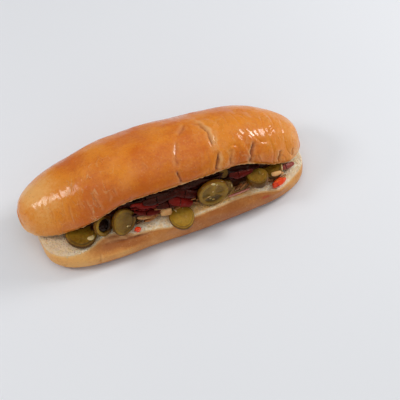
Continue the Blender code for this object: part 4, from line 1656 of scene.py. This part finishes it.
class StrandMaker:
    """Adds limp strands to one mesh, each clear of the pieces round it."""

    def __init__(self, roll: Roll, sides: int = 10, stations: int = 26, cup: float = 0.22) -> None:
        """Start an empty mesh.

        Args:
            roll: The roll that the strands lie in.
            sides: Sides of a strand's section.
            stations: Rings along a strand.
            cup: How far a strand's section curls, as a share of its width.
        """
        self.roll = roll
        self.cup = cup
        self.sides = sides
        self.stations = stations
        self.bm = bmesh.new()
        self.tone = self.bm.verts.layers.float.new("tone")
        self.edge = self.bm.verts.layers.float.new("edge")

    def shape(self, strand: Strand, seed: int) -> tuple[np.ndarray, np.ndarray]:
        """Points of a strand, ring by ring as a sphere has them.

        Args:
            strand: The strand.
            seed: Which uneven form it has.

        Returns:
            The points in metres, and how near each is to the strand's long edges.
        """
        bm = bmesh.new()
        bmesh.ops.create_uvsphere(bm, u_segments=self.sides, v_segments=self.stations, radius=1.0)
        ball = np.array([vert.co[:] for vert in bm.verts])
        bm.free()
        share = np.arccos(np.clip(ball[:, 2], -1, 1)) / math.pi
        knots = np.array(strand.path, float) * MM
        spans = np.linspace(0, 1, len(knots))

        def path_at(places: np.ndarray) -> np.ndarray:
            """Points of the path at these shares of it."""
            return np.stack([np.interp(places, spans, axis) for axis in knots.T], 1)

        line = path_at(share)
        spread = 0.45 / len(knots)
        for _pass in range(2):
            line = (path_at(share - spread) + 2 * line + path_at(share + spread)) / 4
        forward = path_at(share + 0.06) - path_at(share - 0.06)
        forward /= np.linalg.norm(forward, axis=1)[:, None]
        upward = np.array((0.0, 0.12, 1.0))
        side = np.cross(forward, upward)
        side /= np.linalg.norm(side, axis=1)[:, None]
        rise = np.cross(side, forward)
        angle = np.radians(strand.roll + strand.twist * (share - 0.5))
        flat = side * np.cos(angle)[:, None] + rise * np.sin(angle)[:, None]
        thick = np.cross(forward, flat)
        round_about = np.hypot(ball[:, 0], ball[:, 1])
        with np.errstate(invalid="ignore", divide="ignore"):
            across = np.where(round_about > 1e-6, ball[:, 0] / round_about, 0)
            up = np.where(round_about > 1e-6, ball[:, 1] / round_about, 0)
        taper = np.clip(np.sin(share * math.pi), 0, 1) ** 0.35
        wide = strand.width * MM / 2 * taper * (1 + 0.16 * uneven(line, 6 * MM, seed))
        deep = strand.thickness * MM / 2 * np.clip(np.sin(share * math.pi), 0, 1) ** 0.25
        cup = self.cup * wide * (power_turn(across, 1.6) ** 2 - 0.4)
        points = line + flat * (power_turn(across, 2.4) * wide)[:, None]
        points += thick * (up * deep + cup)[:, None]
        points += 0.25 * MM * np.stack([uneven(points, 3 * MM, seed + k) for k in (1, 2, 3)], 1)
        return points, np.abs(across) ** 6 * taper

    def fits(self, points: np.ndarray, trees: Sequence[BVHTree]) -> bool:
        """Whether a strand keeps clear of other pieces.

        Args:
            points: The strand's points.
            trees: The other pieces.

        Returns:
            True where no point is inside or nearer than a quarter millimetre to one.
        """
        for tree in trees:
            for place in map(Vector, points[::3]):
                found, _normal, _face, gap = tree.find_nearest(place, 6 * MM)
                if found is None:
                    continue
                # Faces that share the nearest point come in any order, so each of them is asked
                tied = tree.find_nearest_range(place, gap + 1e-7)
                if gap < 0.25 * MM or any((place - at).dot(normal) < 0 for at, normal, _face, _gap in tied):
                    return False
        return True

    def lay(self, strand: Strand, seed: int, trees: Sequence[BVHTree], steps: int) -> bool:
        """Put a strand in the filling, slid between the halves and backward until it is clear.

        Args:
            strand: The strand.
            seed: Which uneven form it has.
            trees: Pieces that it must not cross.
            steps: How many half millimetres it may go back.

        Returns:
            Whether it found room.
        """
        points, edge = self.shape(strand, seed)
        for _step in range(steps):
            low, high = self.roll.room(points[:, 0], points[:, 1])
            over = max(0.0, float((points[:, 2] - high).max()))
            under = max(0.0, float((low - points[:, 2]).max()))
            moved = points + np.array((0, 0, under - over if min(over, under) < 1e-9 else 0.0))
            if min(over, under) < 0.4 * MM and self.fits(moved, trees):
                self.add(moved, edge, strand.tone)
                return True
            points = points + np.array((0, 0.5 * MM, 0))
        return False

    def add(self, points: np.ndarray, edge: np.ndarray, tone: float) -> None:
        """Add a shaped strand to the mesh.

        Args:
            points: The strand's points.
            edge: How near each is to its long edges.
            tone: Its tone from 0 to 1.
        """
        made = bmesh.ops.create_uvsphere(
            self.bm, u_segments=self.sides, v_segments=self.stations, radius=1.0)["verts"]
        for number, vert in enumerate(made):
            vert.co = Vector(points[number])
            vert[self.tone] = tone
            vert[self.edge] = float(edge[number])

    def lay_all(self, strands: Iterable[Strand], seed: int, trees: Sequence[BVHTree], steps: int) -> int:
        """Lay strands one after another.

        Args:
            strands: The strands.
            seed: Which uneven form the first one has.
            trees: Pieces that they must not cross.
            steps: How many half millimetres each may go back.

        Returns:
            How many found room.
        """
        return sum(self.lay(strand, seed + number, trees, steps) for number, strand in enumerate(strands))

    def add_core(self, shares: Span, front: float, lean: float, seed: int, tone: float,
                 sides: int = 40, stations: int = 160) -> None:
        """Add a layer of the filling that runs through the roll, with an uneven front.

        Args:
            shares: Its lower and upper level, as shares of the height between the cut faces.
            front: Its front edge.
            lean: How far its upper edge lies behind its lower one.
            seed: Which uneven form it has.
            tone: Its tone from 0 to 1.
            sides: Sides of its section.
            stations: Rings along it.
        """
        roll = self.roll
        middle_x = (roll.filling_left + roll.filling_right) / 2
        half_length = (roll.filling_right - roll.filling_left) / 2
        made = bmesh.ops.create_uvsphere(
            self.bm, u_segments=sides, v_segments=stations, radius=1.0)["verts"]
        for vert in made:
            across, upward, along = vert.co
            reach = min(1.0, math.hypot(across, upward))
            x = middle_x + float(power_turn(along, 3.0)) * half_length
            plan = reach ** 0.5
            side = float(power_turn(across / reach, 4.0)) if reach > 1e-5 else 0.0
            level = float(power_turn(upward / reach, 4.0)) if reach > 1e-5 else 0.0
            y = (roll.filling_back + front) / 2 + side * plan * (roll.filling_back - front) / 2
            if side < 0:
                for number, (tall, size, depth) in enumerate(CORE_BUMPS):
                    y += bumps((x, level * tall, 0), size, depth, seed + number)
                y -= lean * (level + 1) / 2 * side
            low, high = roll.room(x, y, *shares)
            z = (low + high) / 2 + level * min(1.0, plan * 1.2) * (high - low) / 2
            vert.co = Vector((x, y, float(z)))
            vert[self.tone] = tone


def tree_of(piece: bpy.types.Object) -> BVHTree:
    """A search tree over the faces of a piece, whose mesh is already in place."""
    return BVHTree.FromPolygons([vert.co.copy() for vert in piece.data.vertices],
                                [tuple(face.vertices) for face in piece.data.polygons])


@dataclass
class OnionTangle:
    """Glossy strips of red onion over a core in the darkest tone, which is painted shade deep in the filling.
    """

    roll: Roll
    name: str = "onion_tangle"
    front: float = -28.5 * MM
    count: int = 56
    seed: int = 8
    along: Span = (-98, 104)
    ends: Span = (-106, 110)
    ranges: StrandRange = StrandRange(
        levels=(0.40, 0.97), half_lengths=(15, 28), headings=(-10, 10), pitches=(-9, 7),
        widths=(5.0, 9.0), thicknesses=(1.1, 1.5), rolls=(-55, -25), twists=(-35, 35), tones=(0.0, 0.3))
    bows: Span = (-4, 4)
    wave_length: float = 5.5
    rows: int = 4
    row_gap: float = 1.4
    knots: int = 9
    set_strands: Sequence[Strand] = (
        Strand(((-114, -24, 32), (-104, -27, 35), (-94, -27, 36), (-84, -24, 35)), 7.5, 2.2, -40, 20, 0.4),
        Strand(((-110, -24, 37), (-100, -26, 40), (-88, -26, 43)), 7.0, 2.0, -55, 0, 0.1),
        Strand(((-48, -30, 54), (-37, -32, 52), (-28, -33, 49), (-16, -31, 46)), 8.0, 2.2, -45, 25, 0.6),
        Strand(((-45, -30, 47), (-34, -33, 43), (-25, -34, 39.5), (-14, -31, 38)), 7.5, 2.0, -35, -30, 0.36),
        Strand(((-36, -31, 55), (-24, -32, 53), (-10, -32, 53), (4, -30, 51)), 8.0, 2.2, -60, 0, 0.15),
        Strand(((-10, -31, 47), (0, -34, 44), (9, -35, 39), (17, -33, 34)), 11.0, 3.0, -48, 12, 0.62),
        Strand(((-4, -31, 54), (6, -33, 50), (15, -34, 45), (24, -32, 41)), 9.0, 2.4, -50, 10, 0.2),
        Strand(((-24, -33, 46), (-12, -34, 44.5), (-2, -33, 41), (6, -31, 37)), 8.0, 2.2, -40, 20, 0.2),
        Strand(((50, -30, 46), (58, -33, 43), (67, -33, 42), (77, -30, 44)), 9.5, 2.4, -42, 30, 0.34),
        Strand(((54, -29, 52), (62, -31, 49), (70, -31, 48), (82, -29, 46)), 7.0, 2.0, -58, 0, 0.3),
        Strand(((56, -32, 36), (64, -34, 34), (73, -34, 34), (80, -31, 35)), 7.5, 2.2, -30, -20, 0.5),
        Strand(((108, -24, 27), (116, -24, 26), (124, -22, 24), (130, -19.5, 21.5)), 5.5, 1.9, -40, 20, 0.95),
    )

    def build(self, material: bpy.types.Material, blocked: Sequence[BVHTree]) -> bpy.types.Object:
        """The tangle, dressed.

        Args:
            material: The onion's finish.
            blocked: Pieces that the strips keep clear of.

        Returns:
            The piece.
        """
        maker = StrandMaker(self.roll, 12, 44, 0.12)
        # The core takes tone 0, the darkest colour: painted shade deep in the filling
        maker.add_core((self.roll.meat_share + 0.02, 1.0), self.front, 3 * MM, 6, 0.0)
        chance = random.Random(self.seed)
        loose = (self._loose(chance, (number + chance.random()) / self.count)
                 for number in range(self.count))
        laid = maker.lay_all(self.set_strands, 100, blocked, 14) + maker.lay_all(loose, 200, blocked, 12)
        LOG.info("onion strips laid: %d", laid)
        return finish_piece(mesh_of(maker.bm, self.name), self.name, material, ("onions",))

    def _loose(self, chance: random.Random, share: float) -> Strand:
        """A strip somewhere along the open front.

        Args:
            chance: Where its draws come from.
            share: Its place along the filling.

        Returns:
            The strip.
        """
        ranges = self.ranges
        x = self.along[0] + (self.along[1] - self.along[0]) * share
        level = chance.uniform(*ranges.levels)
        low, high = self.roll.room(x * MM, self.roll.filling_front)
        z = float(low + (high - low) * level) / MM
        y = -31.0 + 5.0 * level + self.row_gap * chance.randrange(self.rows) - 1.2
        half = chance.uniform(*ranges.half_lengths)
        x = min(max(x, half + self.ends[0]), self.ends[1] - half)
        heading = math.radians(chance.uniform(*ranges.headings))
        pitch = math.radians(chance.uniform(*ranges.pitches))
        bow = chance.uniform(*self.bows)
        phase = chance.uniform(0, 2 * math.pi)
        path = []
        for step in np.linspace(-1, 1, self.knots):
            reach = half * step
            bend = bow * (1 - step ** 2)
            wave = math.sin(phase + reach / self.wave_length)
            path.append((x + reach * math.cos(heading),
                         y + reach * math.sin(heading) + 0.3 * bend + 0.4 * wave,
                         z + reach * math.sin(pitch) + bend + wave))
        return ranges.strand(path, chance)


@dataclass
class MeatShreds:
    """Cooked shreds and chunks at the foot of the filling, over their own core."""

    roll: Roll
    name: str = "meat_shreds"
    front: float = -30.5 * MM
    count: int = 70
    seed: int = 21
    along: Span = (-98, 112)
    ranges: StrandRange = StrandRange(
        levels=(0.08, 0.38), half_lengths=(4, 9), headings=(-35, 35), pitches=(-30, 30),
        widths=(2.2, 4.5), thicknesses=(1.8, 3.2), rolls=(0, 90), twists=(-30, 30), tones=(0.05, 0.7))
    fronts: Span = (-1.5, 2.5)
    kinks: Span = (-0.8, 0.8)
    set_strands: Sequence[Strand] = (
        Strand(((-42, -31, 36), (-34, -33.5, 34.5), (-26, -33.5, 33.5)), 4.4, 3.2, -20, 30, 0.8),
        Strand(((-38, -30.5, 33), (-30, -33, 32), (-22, -33, 31), (-15, -31, 31.5)), 4.0, 2.8, -30, 20, 0.65),
        Strand(((-45, -31, 32), (-38, -33, 31), (-30, -33.5, 30)), 3.4, 2.6, -20, 0, 0.5),
        Strand(((12, -32, 31), (22, -33, 30), (32, -32, 30)), 4.8, 3.4, -20, 10, 0.3),
        Strand(((92, -29, 31), (100, -31, 32), (108, -29.5, 30)), 5.8, 4.2, -20, 0, 0.85),
        Strand(((97, -33.5, 35.4), (103, -34.2, 35.2), (110, -33, 34.2)), 4.4, 2.4, -20, 10, 0.95),
    )
    lumps: Sequence[tuple[Point, Point, float, int, float]] = (
        ((-12.6, -33.6, 34.6), (13.0, 8.0, 12.0), -12.0, 14, 1.0),
        ((104.0, -30.2, 26.8), (17.0, 6.0, 6.4), 8.0, 17, 0.85),
    )

    def build(self, material: bpy.types.Material, blocked: Sequence[BVHTree]) -> bpy.types.Object:
        """The shreds, dressed.

        Args:
            material: The meat's finish.
            blocked: Pieces that the shreds keep clear of.

        Returns:
            The piece.
        """
        maker = StrandMaker(self.roll, 8, 20)
        # The core takes tone 0.05, near the darkest colour: painted shade deep in the filling
        maker.add_core((0.0, self.roll.meat_share), self.front, 2 * MM, 3, 0.05)
        for centre, size, heading, seed, tone in self.lumps:
            add_lump(maker.bm, centre, size, heading, seed, maker.tone, tone)
        chance = random.Random(self.seed)
        loose = (self._loose(chance, (number + chance.random()) / self.count)
                 for number in range(self.count))
        laid = maker.lay_all(self.set_strands, 400, blocked, 10) + maker.lay_all(loose, 500, blocked, 5)
        LOG.info("meat shreds laid: %d", laid)
        return finish_piece(mesh_of(maker.bm, self.name), self.name, material, ("meat",))

    def _loose(self, chance: random.Random, share: float) -> Strand:
        """A short shred along the foot of the filling.

        Args:
            chance: Where its draws come from.
            share: Its place along the filling.

        Returns:
            The shred.
        """
        ranges = self.ranges
        x = self.along[0] + (self.along[1] - self.along[0]) * share
        low, high = self.roll.room(x * MM, self.roll.filling_front)
        z = float(low + (high - low) * chance.uniform(*ranges.levels)) / MM
        y = -33 + chance.uniform(*self.fronts)
        half = chance.uniform(*ranges.half_lengths)
        heading = math.radians(chance.uniform(*ranges.headings))
        pitch = math.radians(chance.uniform(*ranges.pitches))
        path = [(x + half * step * math.cos(heading), y + half * step * math.sin(heading),
                 z + half * step * math.sin(pitch) + chance.uniform(*self.kinks))
                for step in (-1.0, -0.3, 0.3, 1.0)]
        return ranges.strand(path, chance)


def add_lump(bm: bmesh.types.BMesh, centre: Point, size: Point, heading: float, seed: int,
             tone_layer: object, tone: float, detail: int = 5) -> list[bmesh.types.BMVert]:
    """An uneven chunk, added to a mesh.

    Args:
        bm: The mesh.
        centre: Its middle in millimetres.
        size: Its length, depth and height in millimetres.
        heading: Its turn about Z in degrees.
        seed: Which uneven form it has.
        tone_layer: Where its tone is kept.
        tone: Its tone from 0 to 1.
        detail: How finely it is divided.

    Returns:
        Its vertices.
    """
    made = bmesh.ops.create_icosphere(bm, subdivisions=detail, radius=0.5)["verts"]
    for vert in made:
        direction = vert.co.copy()
        vert.co *= 1 + bumps(direction, 0.45, 0.35, seed)
        vert.co *= 1 + bumps((direction.x * 0.4, direction.y, direction.z), 0.12, 0.07, seed + 1)
        vert.co = Vector((vert.co.x * size[0], vert.co.y * size[1], vert.co.z * size[2])) * MM
        vert[tone_layer] = tone
    turn = Matrix.Rotation(math.radians(heading), 4, "Z")
    bmesh.ops.transform(bm, matrix=Matrix.Translation(Vector(centre) * MM) @ turn, verts=made)
    return made


@dataclass
class RedPepper:
    """A diced piece of glossy red pepper."""

    node: str
    centre: Point
    size: Point
    heading: float
    seed: int

    @property
    def name(self) -> str:
        """Name of the piece."""
        return self.node.replace("red_pepper", "red_pepper_dice")

    def build(self, material: bpy.types.Material) -> bpy.types.Object:
        """The piece, dressed.

        Args:
            material: The red pepper's finish.

        Returns:
            The piece.
        """
        bm = bmesh.new()
        tone = bm.verts.layers.float.new("tone")
        edge = bm.verts.layers.float.new("edge")
        for vert in add_lump(bm, self.centre, self.size, self.heading, self.seed, tone, 0.5):
            vert[tone] = 0.58 + 0.4 * noise.noise(vert.co * 300)
            vert[edge] = 0.0
        return finish_piece(mesh_of(bm, self.name), self.name, material, (self.node,))


RED_PEPPERS = (
    RedPepper("red_pepper_large", (104.2, -38.2, 25.0), (16, 7.0, 6.6), 20, 5),
    RedPepper("red_pepper_small", (-43.4, -40.3, 29.2), (6.4, 4.6, 5.6), -20, 9),
)


@dataclass
class PaleStrand:
    """One pinkish strand of onion that hangs over the heel's cut edge."""

    roll: Roll
    name: str = "onion_ribbon"
    strand: Strand = Strand(((50.3, -37.2, 28.4), (57, -36.9, 27.9), (63, -36.6, 27.7),
                             (69, -36.2, 27.9), (75.9, -35.8, 28.5)), 2.5, 2.0, 20, 30, 0.5)

    def build(self, material: bpy.types.Material) -> bpy.types.Object:
        """The strand, dressed.

        Args:
            material: The pale onion's finish.

        Returns:
            The piece.
        """
        maker = StrandMaker(self.roll, 12, 40)
        maker.add(*maker.shape(self.strand, 77), self.strand.tone)
        return finish_piece(mesh_of(maker.bm, self.name), self.name, material,
                            ("onion_strand",))


@dataclass
class BreadCrumbs:
    """Loose crumbs on the heel's cut face and along its rim, with sizes in millimetres."""

    heel: BVHTree
    name: str = "loose_crumbs"
    count: int = 26
    seed: int = 5
    along: Span = (-122, 128)
    across: Span = (-46, -31)
    sizes: Span = (0.5, 1.2)
    drop_height: float = 60
    lowest: float = 19

    def build(self, material: bpy.types.Material) -> bpy.types.Object:
        """The crumbs, dressed.

        Args:
            material: The crumb's finish.

        Returns:
            The piece.
        """
        chance = random.Random(self.seed)
        bm = bmesh.new()
        tone = bm.verts.layers.float.new("tone")
        bm.verts.layers.float.new("edge")
        for number in range(self.count):
            x = chance.uniform(*self.along)
            y = chance.uniform(*self.across)
            size = chance.uniform(*self.sizes)
            hit = self.heel.ray_cast(Vector((x, y, self.drop_height)) * MM, Vector((0, 0, -1)))[0]
            if hit is None or hit.z < self.lowest * MM:
                continue
            centre = (x, y, hit.z / MM + size * 0.2)
            add_lump(bm, centre, (size * chance.uniform(1, 1.7), size, size * 0.8),
                     chance.uniform(0, 180), number, tone, chance.uniform(0.3, 1.0), 2)
        return finish_piece(mesh_of(bm, self.name), self.name, material)


# The studio


@dataclass(frozen=True)
class SoftLight:
    """A square soft light that looks at the roll."""

    name: str
    place: Point
    size: float
    power: float
    colour: Colour = (1.0, 0.98, 0.95)
    target: Point = (0.0, 0.0, 40 * MM)

    def build(self) -> None:
        """Hang the light."""
        lamp = bpy.data.lights.new(self.name, "AREA")
        lamp.size = self.size
        lamp.energy = self.power
        lamp.color = self.colour
        hung = bpy.data.objects.new(self.name, lamp)
        hung.location = self.place
        aim = Vector(self.target) - Vector(self.place)
        hung.rotation_euler = aim.to_track_quat("-Z", "Y").to_euler()
        bpy.context.scene.collection.objects.link(hung)


@dataclass(frozen=True)
class Studio:
    """Pale floor, soft light and the camera at the photograph's angle."""

    lens: float = 135.0
    sensor: float = 36.0
    floor_size: float = 4.0
    floor_shade: Colour = paint(229, 233, 241)
    floor_light: Colour = paint(236, 240, 247)
    air: Colour = (1.0, 0.98, 0.95)
    air_strength: float = 0.26
    lights: Sequence[SoftLight] = (
        SoftLight("light_left", (-1.0, 0.18, 0.95), 0.38, 5.0),
        SoftLight("light_right", (1.15, 0.14, 0.72), 0.36, 7.5),
        SoftLight("light_top", (0.1, 0.35, 1.5), 2.0, 6.5, (1.0, 0.99, 0.97)),
        SoftLight("light_front", (-0.2, -1.0, 1.15), 1.8, 4.8, (1.0, 0.98, 0.94)),
    )

    def build(self) -> None:
        """Set up the floor, the lights, the surroundings and the camera."""
        self._floor()
        for light in self.lights:
            light.build()
        world = bpy.data.worlds.new("studio")
        world.use_nodes = True
        background = world.node_tree.nodes["Background"]
        background.inputs["Color"].default_value = (*self.air, 1.0)
        background.inputs["Strength"].default_value = self.air_strength
        bpy.context.scene.world = world
        self._camera()

    def _floor(self) -> None:
        """A plain pale floor."""
        bm = bmesh.new()
        bmesh.ops.create_grid(bm, x_segments=1, y_segments=1, size=self.floor_size)
        mesh = bpy.data.meshes.new("floor")
        bm.to_mesh(mesh)
        bm.free()
        material, desk, shader = new_material("pale_floor", Roughness=0.7)
        shade = desk.noise(desk.place(), 0.5, 2.0)
        desk.feed(shader.inputs["Base Color"], desk.mix(shade, self.floor_shade, self.floor_light))
        mesh.materials.append(material)
        floor = bpy.data.objects.new("floor", mesh)
        bpy.context.scene.collection.objects.link(floor)

    def _camera(self) -> None:
        """The camera of the photograph."""
        camera = bpy.data.cameras.new("camera")
        camera.lens = self.lens
        camera.sensor_width = self.sensor
        camera.clip_end = 20.0
        held = bpy.data.objects.new("camera", camera)
        turn = Matrix((VIEW_RIGHT, VIEW_UP, VIEW_BACK)).transposed().to_4x4()
        held.matrix_world = Matrix.Translation(VIEW_PLACE) @ turn
        bpy.context.scene.collection.objects.link(held)
        bpy.context.scene.camera = held
        bpy.context.scene.view_settings.view_transform = "Standard"


def main() -> None:
    """Build and dress every piece."""
    logging.basicConfig(level=logging.INFO, format="%(name)s %(message)s")
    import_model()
    effects = SharedEffects()
    roll = Roll()
    Studio().build()

    CrownBread(roll).build(CROWN_CRUST.build(effects))
    heel = HeelBread(roll).build(HEEL_CRUST.build(effects))
    pepper, red = PICKLED_PEPPER.build(effects), RED_PEPPER.build(effects)
    toppings = [piece.build(pepper) for piece in SLICES] + [piece.build(red) for piece in RED_PEPPERS]
    blocked = [tree_of(piece) for piece in toppings]
    MeatShreds(roll).build(COOKED_MEAT.build(effects), blocked)
    OnionTangle(roll).build(RED_ONION.build(effects), blocked)
    PaleStrand(roll).build(PALE_ONION.build(effects))
    BreadCrumbs(tree_of(heel)).build(LOOSE_CRUMB.build(effects))


if __name__ == "__main__":
    main()
